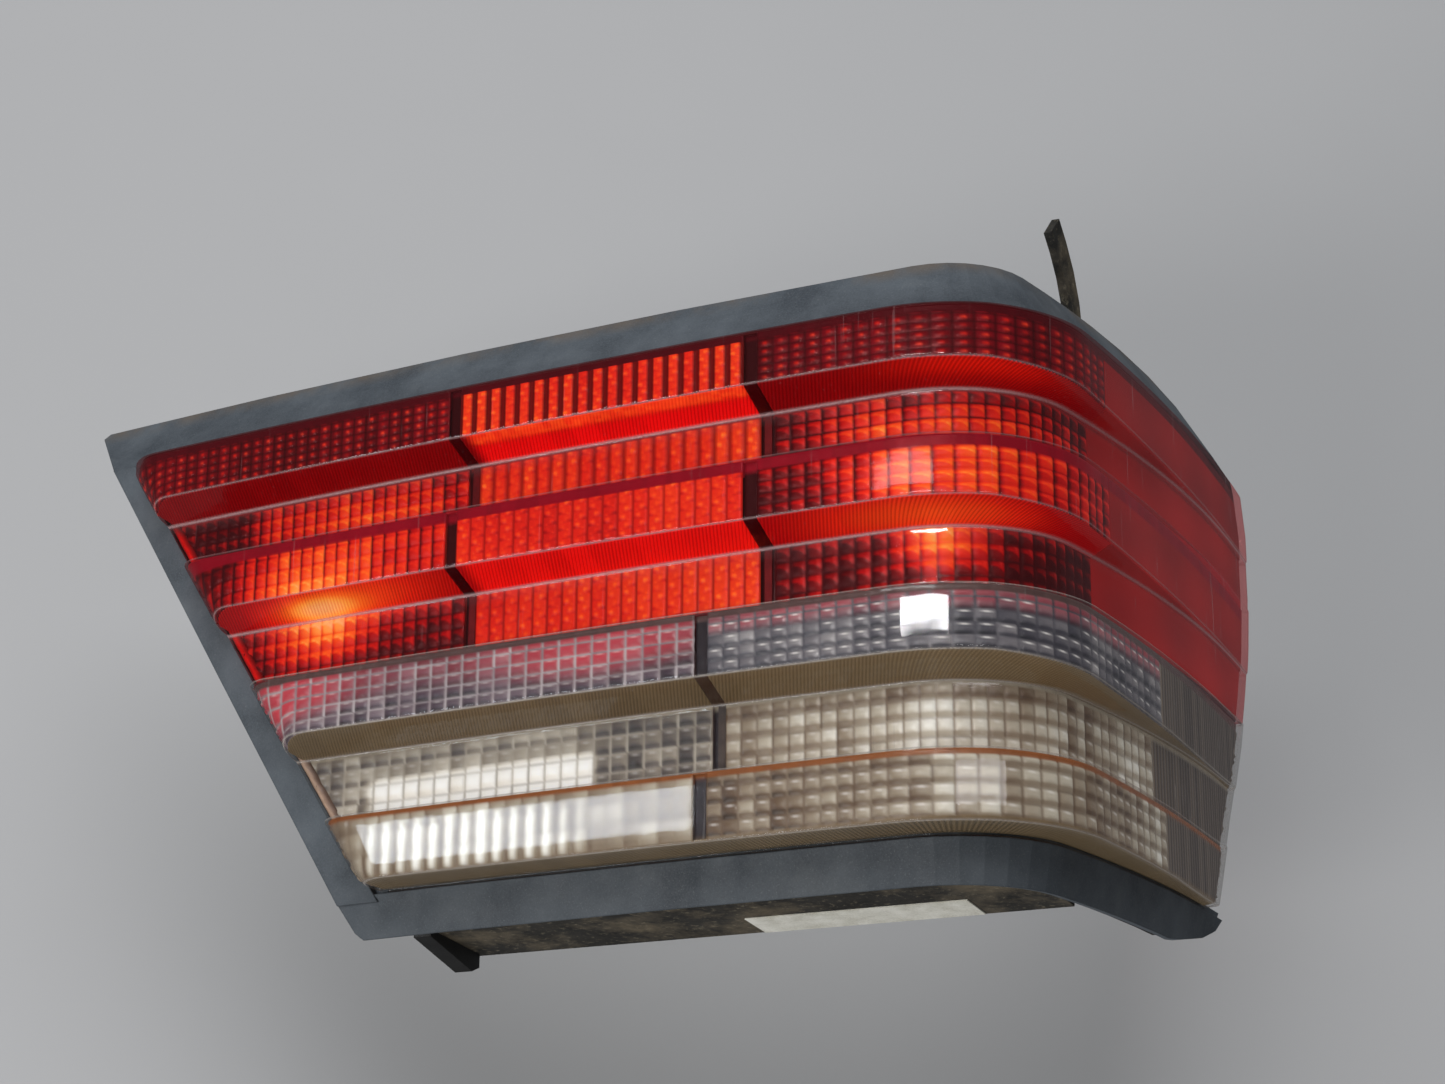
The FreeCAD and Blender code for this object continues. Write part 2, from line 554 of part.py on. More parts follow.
# Thumb screws: a ribbed knob on a plain shank.
for key, (x, low) in SCREWS.items():
    c = place(x, REAR, low)
    ky = plate_y + CT + 0.1
    shank = cylinder("screw_%s_shank" % key, "Sizes.screw_shank_radius", "Sizes.screw_shank_length", V(c.x, ky - size("screw_shank_length"), c.z), BACK)
    head = cylinder("screw_%s_head" % key, "Sizes.knob_radius", "Sizes.knob_height", V(c.x, ky, c.z), BACK)
    grooves = []
    for i in range(12):
        a = 2 * math.pi * i / 12
        r = size("knob_radius") + 0.7
        grooves.append(cylinder("screw_%s_groove_%d" % (key, i), "1.5", "Sizes.knob_height - 2", V(c.x + r * math.cos(a), ky + 2.0, c.z + r * math.sin(a)), BACK))
    ribs = joined("screw_%s_ribs" % key, grooves)
    head_cut = cut("screw_%s_knob" % key, head, ribs)
    finals.append(joined("thumb_screw_%s" % key, [shank, head_cut]))

# Contact strips along the back of the carrier.
strip_y = plate_y + CT
bars = []
for i, (x1, x2, low1, low2) in enumerate(((-216.5, -151.0, 22.0, 28.0), (-57.0, -31.6, 22.0, 28.0), (-118.4, -31.6, -44.0, -38.0), (-168.5, -141.4, -44.0, -38.0))):
    b = doc.addObject("Part::Box", "bar_%d" % i)
    bind(b, Length=str(x2 - x1), Width="0.8", Height=str(low2 - low1))
    b.Placement = Placement(V(-x2 - X0, strip_y, -low2), Rotation())
    bars.append(b)
bar_group = doc.addObject("Part::Compound", "contact_strips")
bar_group.Links = bars
bar_group.Label = "contact_strips"

# Socket for the car's plug, open at the back, with seven flat pins.
px, plow = -186.0, -41.0
pc = place(px, REAR, plow)
shell_ = box("plug_shell", "Sizes.plug_wide", "Sizes.plug_deep", "Sizes.plug_tall", V(pc.x - size("plug_wide") / 2, strip_y, pc.z - size("plug_tall") / 2))
room = box("plug_room", "Sizes.plug_wide - 2 * Sizes.plug_wall", "Sizes.plug_deep", "Sizes.plug_tall - 2 * Sizes.plug_wall", V(pc.x - size("plug_wide") / 2 + size("plug_wall"), strip_y + 2.0, pc.z - size("plug_tall") / 2 + size("plug_wall")))
finals.append(cut("plug_socket", shell_, room))
pins = []
for i in range(7):
    pins.append(box("plug_pin_%d" % i, "2 * Sizes.pin_half", "Sizes.pin_length", "4 * Sizes.pin_half", V(pc.x - 12.6 + 4.2 * i - size("pin_half"), strip_y + 2.0, pc.z - 1.2)))
pin_group = doc.addObject("Part::Compound", "plug_pins")
pin_group.Links = pins
pin_group.Label = "plug_pins"

# Flared strip that carries the upper wall on past the rear, with a plain paper
# label and a locating fin on it.
def rise(y):
    return size("shield_top") - (size("shield_reach") - y) * size("shield_slope")


def across(label, pts, x_from, x_to):
    """Prism along X through (y, z) points."""
    return feature(label, prism([V(x_from, y, z) for y, z in pts], V(x_to - x_from, 0, 0)))


reach = size("shield_reach")
upper_shield = across("upper_shield", [(-14.0, 83.5), (0.0, 83.5), (reach, rise(reach) - 2.9), (reach, rise(reach)), (-14.0, rise(-14.0))], -128.0, 104.0)
tilt = math.degrees(math.atan(size("shield_slope")))
label_blank = box("label_blank", "Sizes.label_wide", "Sizes.label_tall", "Sizes.label_thick", V(-97.0, 24.5, rise(24.5)))
label_blank.Placement = Placement(V(-97.0, 24.5, rise(24.5)), Rotation(V(1, 0, 0), tilt))
tab_top = size("tab_tall")
locating_tab = across("locating_tab", [(6.0, rise(6.0)), (40.0, rise(40.0)), (40.0, rise(40.0) + 0.66 * tab_top), (35.0, rise(35.0) + tab_top), (6.0, rise(6.0) + 2.5)], 104.0 - size("tab_wide"), 104.0)
doc.recompute()

exports = [housing, lens_red, lens_clear, end_rim, divider_inner, divider_outer, divider_clear, divider_level] + reflex_strips
exports += [amber_strip_long, amber_strip_short, reflector_fog, reflector_reverse, reflector_turn, reflector_tail, wrap_liner]
exports += [gasket_low, gasket_wrap, gasket_high, gasket_inner, seal_strip_end, stud_group, carrier, carrier_seal]
exports += finals + [bridge, post_group, bar_group, pin_group, upper_shield, label_blank, locating_tab]

doc.recompute()
bad = [o.Name for o in doc.Objects if "Invalid" in o.State or "Error" in o.State]
if bad:
    raise RuntimeError("not computed: %s" % bad)
for o in exports:
    if o.Shape.isNull() or not o.Shape.isValid() or not o.Shape.Solids:
        raise RuntimeError("bad shape: %s" % o.Label)
    print(o.Label, len(o.Shape.Solids), round(o.Shape.Volume / 1000.0, 2))

os.makedirs("parts", exist_ok=True)
for o in exports:
    o.Shape.exportStep("parts/%s.step" % o.Label)
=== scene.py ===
import bpy, math
import numpy as np
from mathutils import Matrix, Vector

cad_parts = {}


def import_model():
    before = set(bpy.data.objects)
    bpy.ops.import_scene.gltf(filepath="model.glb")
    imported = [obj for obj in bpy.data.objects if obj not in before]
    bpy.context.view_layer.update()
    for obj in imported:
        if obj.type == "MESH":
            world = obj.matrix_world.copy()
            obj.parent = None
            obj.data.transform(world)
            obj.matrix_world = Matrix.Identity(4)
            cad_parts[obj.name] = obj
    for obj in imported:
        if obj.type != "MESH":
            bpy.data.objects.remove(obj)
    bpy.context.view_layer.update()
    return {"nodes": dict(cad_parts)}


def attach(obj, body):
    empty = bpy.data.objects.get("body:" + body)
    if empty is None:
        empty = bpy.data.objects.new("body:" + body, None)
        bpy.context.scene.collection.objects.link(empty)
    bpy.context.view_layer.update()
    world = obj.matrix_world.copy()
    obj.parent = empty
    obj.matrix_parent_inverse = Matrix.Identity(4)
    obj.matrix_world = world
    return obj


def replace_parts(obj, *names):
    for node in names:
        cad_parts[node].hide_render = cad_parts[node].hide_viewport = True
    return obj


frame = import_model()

scene = bpy.context.scene
scene.view_settings.view_transform = "Standard"
scene.view_settings.look = "None"

# ---------------------------------------------------------------- lamp shape
# s: distance along the lens seen from above (0 where the corner starts,
# negative to the slanted end), out: outward from the recessed bands,
# low: distance below the middle of the lens. All in millimetres.
FLAT, CORNER, SIDE = 2850.0, 44.7, 667.0
TURN = math.radians(80.3)
ARC = CORNER * TURN
X0, Y0 = 105.0, 50.0
HALF, RISE, DROP = 85.0, 13.2, 6.2
R1, S1, R2, S2, R3, S3 = 60.05, 41.06, 13.74, -8.3, -36.6, -60.7
FOOT = -6.0


def plan(s, out):
    s = np.asarray(s, float)
    out = np.asarray(out, float)
    a = np.where(s < 0, s / FLAT, np.where(s < ARC, s / CORNER, TURN + (s - ARC) / SIDE))
    cx = np.where(s < ARC, 0.0, (CORNER - SIDE) * math.sin(TURN))
    cy = np.where(s < 0, -FLAT, np.where(s < ARC, -CORNER, -CORNER + (CORNER - SIDE) * math.cos(TURN)))
    r = np.where(s < 0, FLAT, np.where(s < ARC, CORNER, SIDE))
    return cx + (r + out) * np.sin(a), cy + (r + out) * np.cos(a)


def world(s, out, low):
    x, n = plan(s, out)
    low = np.asarray(low, float) + 0 * x
    return np.stack([-x - X0, -n - Y0, -low], -1) / 1000.0


def place(x, n, low):
    return Vector(((-x - X0) / 1000, (-n - Y0) / 1000, -low / 1000))


def fade(s):
    s = np.asarray(s, float)
    return np.where(s <= 27, 1.0, np.maximum(0.03, (np.maximum(245 - s, 0) / 218.0) ** 2))


def slant(low):
    return -(255.8 + 0.68 * np.asarray(low, float))


def s_left(low, extra=0.6):
    low = np.asarray(low, float)
    x = slant(low) + extra
    s = FLAT * np.arcsin(x / FLAT)
    t = np.clip(8.0 - (HALF - low), 0, 8.0)       # rounded corner, photo top
    s = s + (8.0 - np.sqrt(np.maximum(64.0 - t * t, 0.0))) * 0.9
    b = np.clip(6.0 - (low + HALF), 0, 6.0)
    s = s + (6.0 - np.sqrt(np.maximum(36.0 - b * b, 0.0))) * 0.7
    return s


END = np.array([(150.0, 205.0), (88.0, 236.0), (84.0, 243.0), (70.0, 250.5), (45.0, 250.5), (22.0, 244.0), (4.0, 235.0), (-20.0, 221.0), (-50.0, 200.0), (-84.0, 180.0), (-94.0, 168.0), (-104.0, 148.0), (-150.0, 100.0)])
END_N = plan(END[:, 1], 0.0)[1]


def s_right(low, out=0.0, back=0.6):
    n = np.interp(-np.asarray(low, float), -END[:, 0], END_N) + back
    cy = -CORNER + (CORNER - SIDE) * math.cos(TURN)
    return ARC + (np.arccos(np.clip((n - cy) / (SIDE + np.asarray(out, float)), -1, 1)) - TURN) * SIDE


def ease(e, w=14.0):
    return np.sqrt(np.maximum(1 - (1 - np.clip(np.asarray(e, float) / w, 0, 1)) ** 2, 0))


def smooth(a, b, x):
    t = np.clip((np.asarray(x, float) - a) / (b - a), 0, 1)
    return t * t * (3 - 2 * t)


def hash2(i, j, k=0.0):
    v = np.sin(np.asarray(i, float) * 127.1 + np.asarray(j, float) * 311.7 + k * 74.7) * 43758.5453
    return v - np.floor(v)


def lin(r, g, b):
    c = np.array([r, g, b], float) / 255.0
    return np.where(c <= 0.04045, c / 12.92, ((c + 0.055) / 1.055) ** 2.4)


# ---------------------------------------------------------------- mesh helpers
def mesh_object(name, verts, faces, body="lamp", smooth_faces=True):
    me = bpy.data.meshes.new(name)
    me.from_pydata([tuple(v) for v in verts], [], faces)
    me.validate()
    me.update()
    if smooth_faces:
        me.polygons.foreach_set("use_smooth", [True] * len(me.polygons))
    ob = bpy.data.objects.new(name, me)
    scene.collection.objects.link(ob)
    if body:
        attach(ob, body)
    return ob


def grid_object(name, P, body="lamp", paint=None, values=None, smooth_faces=True):
    """P: rows x columns x 3 in metres, rows from photo top down, columns with s."""
    m, n = P.shape[:2]
    flat = P.reshape(-1, 3)
    key = np.round(flat / 2e-6).astype(np.int64)
    _, first, inverse = np.unique(key, axis=0, return_index=True, return_inverse=True)
    inverse = inverse.reshape(-1)
    idx = inverse.reshape(m, n)
    a, b, c, d = idx[:-1, :-1], idx[1:, :-1], idx[1:, 1:], idx[:-1, 1:]
    quads = np.stack([a, b, c, d], -1).reshape(-1, 4)
    faces = []
    for q in quads.tolist():
        r = []
        for v in q:
            if not r or r[-1] != v:
                r.append(v)
        if len(r) > 1 and r[0] == r[-1]:
            r.pop()
        if len(set(r)) == len(r) and len(r) >= 3:
            faces.append(r)
    verts = flat[first]
    me = bpy.data.meshes.new(name)
    me.from_pydata(verts.tolist(), [], faces)
    me.update()
    if smooth_faces:
        me.polygons.foreach_set("use_smooth", [True] * len(me.polygons))
    if paint is not None:
        col = np.ones((len(verts), 4), np.float32)
        col[:, :3] = paint.reshape(-1, 3)[first]
        at = me.attributes.new("paint", "FLOAT_COLOR", "POINT")
        at.data.foreach_set("color", col.reshape(-1))
    for key_, arr in (values or {}).items():
        at = me.attributes.new(key_, "FLOAT", "POINT")
        at.data.foreach_set("value", arr.reshape(-1)[first].astype(np.float32))
    me.validate()
    ob = bpy.data.objects.new(name, me)
    scene.collection.objects.link(ob)
    if body:
        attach(ob, body)
    return ob


# ---------------------------------------------------------------- node helpers
class Nodes:
    def __init__(self, name):
        self.mat = bpy.data.materials.new(name)
        self.mat.use_nodes = True
        self.t = self.mat.node_tree
        self.t.nodes.clear()
        self.out = self.t.nodes.new("ShaderNodeOutputMaterial")

    def n(self, kind, **sets):
        node = self.t.nodes.new(kind)
        for k, v in sets.items():
            setattr(node, k, v)
        return node

    def put(self, node, socket, value):
        if hasattr(value, "is_output"):
            self.t.links.new(value, node.inputs[socket])
        else:
            node.inputs[socket].default_value = value

    def math(self, op, a, b=None, c=None):
        node = self.n("ShaderNodeMath", operation=op)
        self.put(node, 0, a)
        if b is not None:
            self.put(node, 1, b)
        if c is not None:
            self.put(node, 2, c)
        return node.outputs[0]

    def noise(self, scale, detail=4.0, rough=0.5, vector=None, distortion=0.0):
        node = self.n("ShaderNodeTexNoise")
        self.put(node, "Scale", scale)
        self.put(node, "Detail", detail)
        self.put(node, "Roughness", rough)
        self.put(node, "Distortion", distortion)
        if vector is not None:
            self.put(node, "Vector", vector)
        return node.outputs["Fac"]

    def coords(self, scale=(1, 1, 1), rot=(0, 0, 0)):
        tc = self.n("ShaderNodeTexCoord")
        mp = self.n("ShaderNodeMapping")
        self.put(mp, "Vector", tc.outputs["Object"])
        mp.inputs["Scale"].default_value = scale
        mp.inputs["Rotation"].default_value = rot
        return mp.outputs["Vector"]

    def ramp(self, fac, stops, interp="LINEAR"):
        node = self.n("ShaderNodeValToRGB")
        node.color_ramp.interpolation = interp
        el = node.color_ramp.elements
        while len(el) < len(stops):
            el.new(0.5)
        for e, (p, c) in zip(el, stops):
            e.position = p
            e.color = tuple(c) + ((1.0,) if len(c) == 3 else ())
        self.put(node, "Fac", fac)
        return node.outputs["Color"]

    def range(self, v, a, b, c=0.0, d=1.0):
        node = self.n("ShaderNodeMapRange")
        self.put(node, "Value", v)
        node.inputs["From Min"].default_value = a
        node.inputs["From Max"].default_value = b
        node.inputs["To Min"].default_value = c
        node.inputs["To Max"].default_value = d
        return node.outputs["Result"]

    def mix(self, fac, a, b, blend="MIX"):
        node = self.n("ShaderNodeMix", data_type="RGBA", blend_type=blend)
        self.put(node, 0, fac)
        for i, v in ((6, a), (7, b)):
            if hasattr(v, "is_output"):
                self.t.links.new(v, node.inputs[i])
            else:
                node.inputs[i].default_value = tuple(v) + ((1.0,) if len(v) == 3 else ())
        return node.outputs[2]

    def bump(self, height, strength=0.3, distance=0.0005, normal=None):
        node = self.n("ShaderNodeBump")
        self.put(node, "Height", height)
        node.inputs["Strength"].default_value = strength
        node.inputs["Distance"].default_value = distance
        if normal is not None:
            self.put(node, "Normal", normal)
        return node.outputs["Normal"]

    def attr(self, name):
        node = self.n("ShaderNodeAttribute", attribute_name=name)
        return node

    def principled(self, **sets):
        node = self.n("ShaderNodeBsdfPrincipled")
        for k, v in sets.items():
            key_ = k.replace("_", " ")
            self.put(node, key_, v if not (isinstance(v, (tuple, list, np.ndarray)) and len(v) == 3) else tuple(v) + (1.0,))
        return node

    def end(self, shader):
        self.t.links.new(shader, self.out.inputs["Surface"])
        return self.mat


def skin_material(name, tint, dust_sheen_colour, rough=0.035):
    g = Nodes(name)
    bumpy = g.bump(g.noise(60, 2.0), 0.012, 0.001)
    tr = g.n("ShaderNodeBsdfTransparent")
    streak = g.noise(9, 4, 0.6, g.coords((1, 1, 1)))
    g.put(tr, "Color", g.mix(g.range(streak, 0.3, 0.7), tuple(tint), tuple(np.array(tint) * 0.93)))
    gl = g.n("ShaderNodeBsdfAnisotropic")
    gl.inputs["Color"].default_value = (0.60, 0.60, 0.62, 1.0)
    g.put(gl, "Roughness", g.range(g.noise(30, 5, 0.6), 0.3, 0.75, rough * 0.7, rough * 2.2))
    g.put(gl, "Normal", bumpy)
    fr = g.n("ShaderNodeFresnel")
    g.put(fr, "IOR", 1.45)
    g.put(fr, "Normal", bumpy)
    m1 = g.n("ShaderNodeMixShader")
    g.put(m1, 0, g.math("MINIMUM", fr.outputs[0], 0.18))
    g.put(m1, 1, tr.outputs[0])
    g.put(m1, 2, gl.outputs[0])
    # dust, wear and painted highlight: the mask painted on the mesh, with dust in the hollow corners and a painted
    # highlight line along the ridges and upper edges, broken up by noise, and fine scratches
    # pale coat for the dust and for the painted highlight lines
    dull = g.principled(Base_Color=dust_sheen_colour, Roughness=0.75)
    dust_and_sheen = g.math("MULTIPLY", g.attr("dust_and_sheen").outputs["Fac"], g.range(g.noise(420, 4, 0.7), 0.28, 0.62, 0.35, 1.0))
    scratch = g.noise(1.0, 2, 0.5, g.coords((900, 900, 26), (0.35, 0.0, 0.0)))
    lines = g.math("MULTIPLY", g.range(scratch, 0.69, 0.74), g.attr("scratch").outputs["Fac"])
    lines.node.use_clamp = True
    both = g.math("MAXIMUM", dust_and_sheen, lines)
    both.node.use_clamp = True
    m2 = g.n("ShaderNodeMixShader")
    g.put(m2, 0, both)
    g.put(m2, 1, m1.outputs[0])
    g.put(m2, 2, dull.outputs[0])
    return g.end(m2.outputs[0])


def inner_material(name):
    g = Nodes(name)
    tr = g.n("ShaderNodeBsdfTransparent")
    g.put(tr, "Color", g.mix(g.noise(40, 2), (1, 1, 1), (0.985, 0.98, 0.98)))
    return g.end(tr.outputs[0])


def optics_material(name, glow=0.5, rough=0.28, spec=0.5):
    g = Nodes(name)
    col = g.attr("paint").outputs["Color"]
    grain = g.noise(900, 3, 0.6)
    col = g.mix(g.range(grain, 0.3, 0.7, 0.0, 1.0), g.mix(1.0, col, (0.86, 0.86, 0.86), "MULTIPLY"), g.mix(1.0, col, (1.12, 1.12, 1.12), "MULTIPLY"))
    p = g.principled(Base_Color=col, Roughness=g.range(grain, 0.2, 0.8, rough * 0.7, rough * 1.4), Specular_IOR_Level=spec)
    # painted glow: the optics emit their own paint colour, standing in for light passing through the lens
    g.put(p, "Emission Color", col)
    g.put(p, "Emission Strength", glow)
    g.put(p, "Normal", g.bump(grain, 0.15, 0.0002))
    return g.end(p.outputs[0])


def plastic(name, dark, light, rough=0.55, scale=14.0, grain=1500.0, bump=0.25, extra=None, bevel=0.0, spec=0.4):
    """Moulded plastic with mottling and fine grain."""
    g = Nodes(name)
    at_ = g.coords()
    big = g.noise(scale * 2.2, 5, 0.62, at_)
    fine = g.noise(grain, 3, 0.6, at_)
    col = g.mix(g.range(big, 0.32, 0.68), tuple(dark), tuple(light))
    col = g.mix(g.range(fine, 0.35, 0.75, 0.0, 0.35), col, tuple(np.array(light) * 1.35))
    if extra:
        col = extra(g, col)
    p = g.principled(Base_Color=col, Roughness=g.range(g.noise(scale * 5.0, 4, 0.5, at_), 0.3, 0.7, rough * 0.85, rough * 1.15), Specular_IOR_Level=spec)
    normal = None
    if bevel:
        bv = g.n("ShaderNodeBevel", samples=4)
        bv.inputs["Radius"].default_value = bevel
        normal = bv.outputs[0]
    g.put(p, "Normal", g.bump(fine, bump, 0.0002, normal))
    return g.end(p.outputs[0])


# ---------------------------------------------------------------- camera
cam_data = bpy.data.cameras.new("camera")
cam_data.lens = 74.763
cam_data.sensor_width = 36.0
cam_data.sensor_fit = "HORIZONTAL"
cam_data.clip_start = 0.01
cam = bpy.data.objects.new("camera", cam_data)
scene.collection.objects.link(cam)
RIGHT = Vector((-0.89953131, 0.4368192, -0.00569273))
UP = Vector((-0.12985144, -0.27979671, -0.9512373))
BACK = Vector((-0.41711152, -0.85492853, 0.30840751))
EYE = Vector((-0.45124826, -0.88654316, 0.28397428))
mw = Matrix((RIGHT, UP, BACK)).transposed().to_4x4()
mw.translation = EYE
cam.matrix_world = mw
scene.camera = cam

# ---------------------------------------------------------------- the clear skin
LEFT_E = [0.0, 0.5, 1.1, 2.0, 3.2, 4.6, 6.2, 8.0, 10.0, 12.0, 14.0]
S_BLEND = -160.0
S_OUT = 128.0


def skin_columns():
    """Columns as (kind, value): edge distance, blend share, fixed s, outer share."""
    cols = [("edge", e) for e in LEFT_E]
    cols += [("blend", t) for t in np.linspace(0, 1, 14)[1:]]
    cols += [("s", s) for s in np.arange(S_BLEND + 5, -2, 5)]
    cols += [("s", s) for s in np.arange(-1, 80, 1.5)]
    cols += [("s", s) for s in np.arange(81, S_OUT, 4)]
    cols += [("outer", t) for t in np.concatenate([np.linspace(0, 0.97, 26), [0.985, 0.995, 1.0]])]
    return cols


def fillet(corners, radii, steps, spans):
    """corners: k x c x 2. Returns rows x c x 2 with rounded inner corners."""
    rows = [corners[0]]
    k = len(corners)
    tags = [("edge", 0)]
    for i in range(1, k - 1):
        p, a, q = corners[i - 1], corners[i], corners[i + 1]
        lp = np.linalg.norm(p - a, axis=-1, keepdims=True) + 1e-9
        lq = np.linalg.norm(q - a, axis=-1, keepdims=True) + 1e-9
        A = a + (p - a) * np.minimum(radii[i] / lp, 0.45)
        B = a + (q - a) * np.minimum(radii[i] / lq, 0.45)
        prev = rows[-1]
        m = spans[i - 1]
        for j in range(1, m):
            rows.append(prev + (A - prev) * j / m)
            tags.append(("flat", i - 1))
        for j in range(steps + 1):
            t = j / steps
            rows.append((1 - t) ** 2 * A + 2 * t * (1 - t) * a + t * t * B)
            tags.append(("turn", i))
    prev = rows[-1]
    m = spans[-1]
    for j in range(1, m + 1):
        rows.append(prev + (corners[-1] - prev) * j / m)
        tags.append(("flat", k - 2))
    return np.array(rows), tags


def skin(name, corner_fn, radii, spans, dust_and_sheen_turns, material, inside, node):
    cols = skin_columns()
    e = np.array([v if k == "edge" else 14.0 + (v * 60 if k == "blend" else 99.0) for k, v in cols])
    s_ref = np.array([-250.0 if k in ("edge", "blend") else (v if k == "s" else S_OUT + (232.0 - S_OUT) * v) for k, v in cols])
    corners = corner_fn(s_ref, e)
    prof, tags = fillet(corners, radii, 5, spans)
    low, out = prof[..., 0], prof[..., 1]
    s = np.zeros_like(low)
    for j, (k, v) in enumerate(cols):
        if k == "edge":
            s[:, j] = s_left(low[:, j]) + v
        elif k == "blend":
            s[:, j] = (s_left(low[:, j]) + 14.0) * (1 - v) + S_BLEND * v
        elif k == "s":
            s[:, j] = v
        else:
            s[:, j] = S_OUT + (s_right(low[:, j], out[:, j]) - S_OUT) * v
    # end walls: extra columns that drop to the foot
    first_out, last_out = out[:, :1], out[:, -1:]
    foot = np.full_like(first_out, FOOT + 1.0)
    P = world(s, out, low)
    L1 = world(s[:, :1] - 0.15, np.minimum(first_out, 0.0) - 0.6, low[:, :1])
    L2 = world(s[:, :1] - 0.15, np.minimum(foot, first_out), low[:, :1])
    Rr1 = world(s[:, -1:] + 0.1, last_out - 0.7, low[:, -1:])
    Rr2 = world(s[:, -1:] + 0.1, np.minimum(foot, last_out), low[:, -1:])
    P = np.concatenate([L2, L1, P, Rr1, Rr2], 1)
    pad = lambda a: np.concatenate([a[:, :1], a[:, :1], a, a[:, -1:], a[:, -1:]], 1)
    s2, low2 = pad(s), pad(low)
    # mask along the turns of the profile: dust in the hollow corners and a painted highlight line along the ridges and
    # upper edges
    dust_and_sheen = np.zeros_like(s2)
    row_of = {}
    for r, (k, i) in enumerate(tags):
        row_of.setdefault((k, i), []).append(r)
    for i, amount, spread in dust_and_sheen_turns:
        rows = row_of[("turn", i)]
        mid = low2[rows[len(rows) // 2]]
        for r in range(len(tags)):
            dist = np.linalg.norm(np.stack([low2[r] - mid, pad(out)[r] - pad(out)[rows[len(rows) // 2]]], -1), axis=-1)
            dust_and_sheen[r] = np.maximum(dust_and_sheen[r], amount * np.exp(-(dist / spread) ** 2))
    hazy = 0.010 * smooth(78, 120, s2) + 0.002
    dust_and_sheen = np.maximum(dust_and_sheen, hazy)
    scratch = 0.10 + 0.38 * smooth(70, 130, s2)
    ob = grid_object(name, P, values={"dust_and_sheen": dust_and_sheen, "scratch": scratch})
    ob.data.materials.append(material)
    ob.data.materials.append(inside)
    so = ob.modifiers.new("wall", "SOLIDIFY")
    so.thickness = 0.0013
    so.offset = -1.0
    so.use_even_offset = False
    so.material_offset = 1
    so.material_offset_rim = 0
    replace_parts(ob, node)
    return ob


def red_corners(s, e):
    f = fade(s) * ease(e)
    d, k = RISE * f, DROP * f
    z = np.zeros_like(d)
    return np.stack([np.stack([a + z, b + z], -1) for a, b in [
        (HALF, z + FOOT), (HALF, d), (R1 + k, d), (R1, z), (S1, z), (S1 - 0.3, d), (R2 + k, d), (R2, z), (S2 + 0.1, z)]])


def clear_corners(s, e):
    f = fade(s) * ease(e)
    d, k = RISE * f, DROP * f
    z = np.zeros_like(d)
    return np.stack([np.stack([a + z, b + z], -1) for a, b in [
        (S2, z + 0.0), (S2 - 0.3, d), (R3 + k, d), (R3, z), (S3, z), (S3 - 0.3, d), (-HALF + 0.7, d), (-HALF, z + FOOT)]])


RED_TINT = (0.98, 0.58, 0.58)
m_red = skin_material("lens_red_skin", RED_TINT, lin(205, 170, 172))
m_clear = skin_material("lens_clear_skin", (0.95, 0.945, 0.935), lin(205, 196, 188))
m_inner = inner_material("lens_inner_face")
skin_red = skin("lens_red_skin", red_corners, [0, 1.6, 0.9, 1.2, 0.8, 1.2, 0.9, 1.2, 0], [3, 5, 3, 5, 3, 5, 3, 6],
                [(2, 0.55, 0.32), (3, 0.85, 0.55), (5, 0.22, 0.4), (6, 0.55, 0.32), (7, 0.85, 0.55)], m_red, m_inner, "lens_red")
skin_clear = skin("lens_clear_skin", clear_corners, [0, 1.2, 0.9, 1.2, 0.8, 1.2, 1.0, 0], [3, 5, 3, 5, 3, 5, 3],
                  [(1, 0.45, 0.35), (2, 0.7, 0.4), (3, 0.55, 0.45), (5, 0.4, 0.4), (6, 0.6, 0.5)], m_clear, m_inner, "lens_clear")


# ---------------------------------------------------------------- optics
DEEP = 2.3


def raised(s, low):
    return RISE * fade(s) * ease(s - s_left(low))


def ridge(r, s):
    return r + DROP * fade(s) * ease(s - s_left(r))


BANDS = {
    "b1": (lambda s: HALF - 0.6 + 0 * s, lambda s: ridge(R1, s) + 0.5, 1, 1),
    "sl1": (lambda s: ridge(R1, s) + 0.5, lambda s: R1 + 0.4 + 0 * s, 1, 0),
    "b2": (lambda s: R1 + 0.4 + 0 * s, lambda s: S1 + 0 * s, 0, 0),
    "b3": (lambda s: S1 - 0.6 + 0 * s, lambda s: ridge(R2, s) + 0.5, 1, 1),
    "sl2": (lambda s: ridge(R2, s) + 0.5, lambda s: R2 + 0.4 + 0 * s, 1, 0),
    "b4": (lambda s: R2 + 0.4 + 0 * s, lambda s: S2 + 0.4 + 0 * s, 0, 0),
    "b5": (lambda s: S2 - 0.6 + 0 * s, lambda s: ridge(R3, s) + 0.5, 1, 1),
    "sl3": (lambda s: ridge(R3, s) + 0.5, lambda s: R3 + 0.4 + 0 * s, 1, 0),
    "b6": (lambda s: R3 + 0.4 + 0 * s, lambda s: S3 + 0 * s, 0, 0),
    "b7": (lambda s: S3 - 0.6 + 0 * s, lambda s: -HALF + 1.6 + 0 * s, 1, 1),
}
LAMP_OPTICS = {}


def mixc(a, b, t):
    t = np.clip(t, 0, 1)[..., None]
    return a * (1 - t) + b * t


def blob(s, low, s0, l0, ws, wl):
    return np.exp(-((s - s0) / ws) ** 2 - ((low - l0) / wl) ** 2)


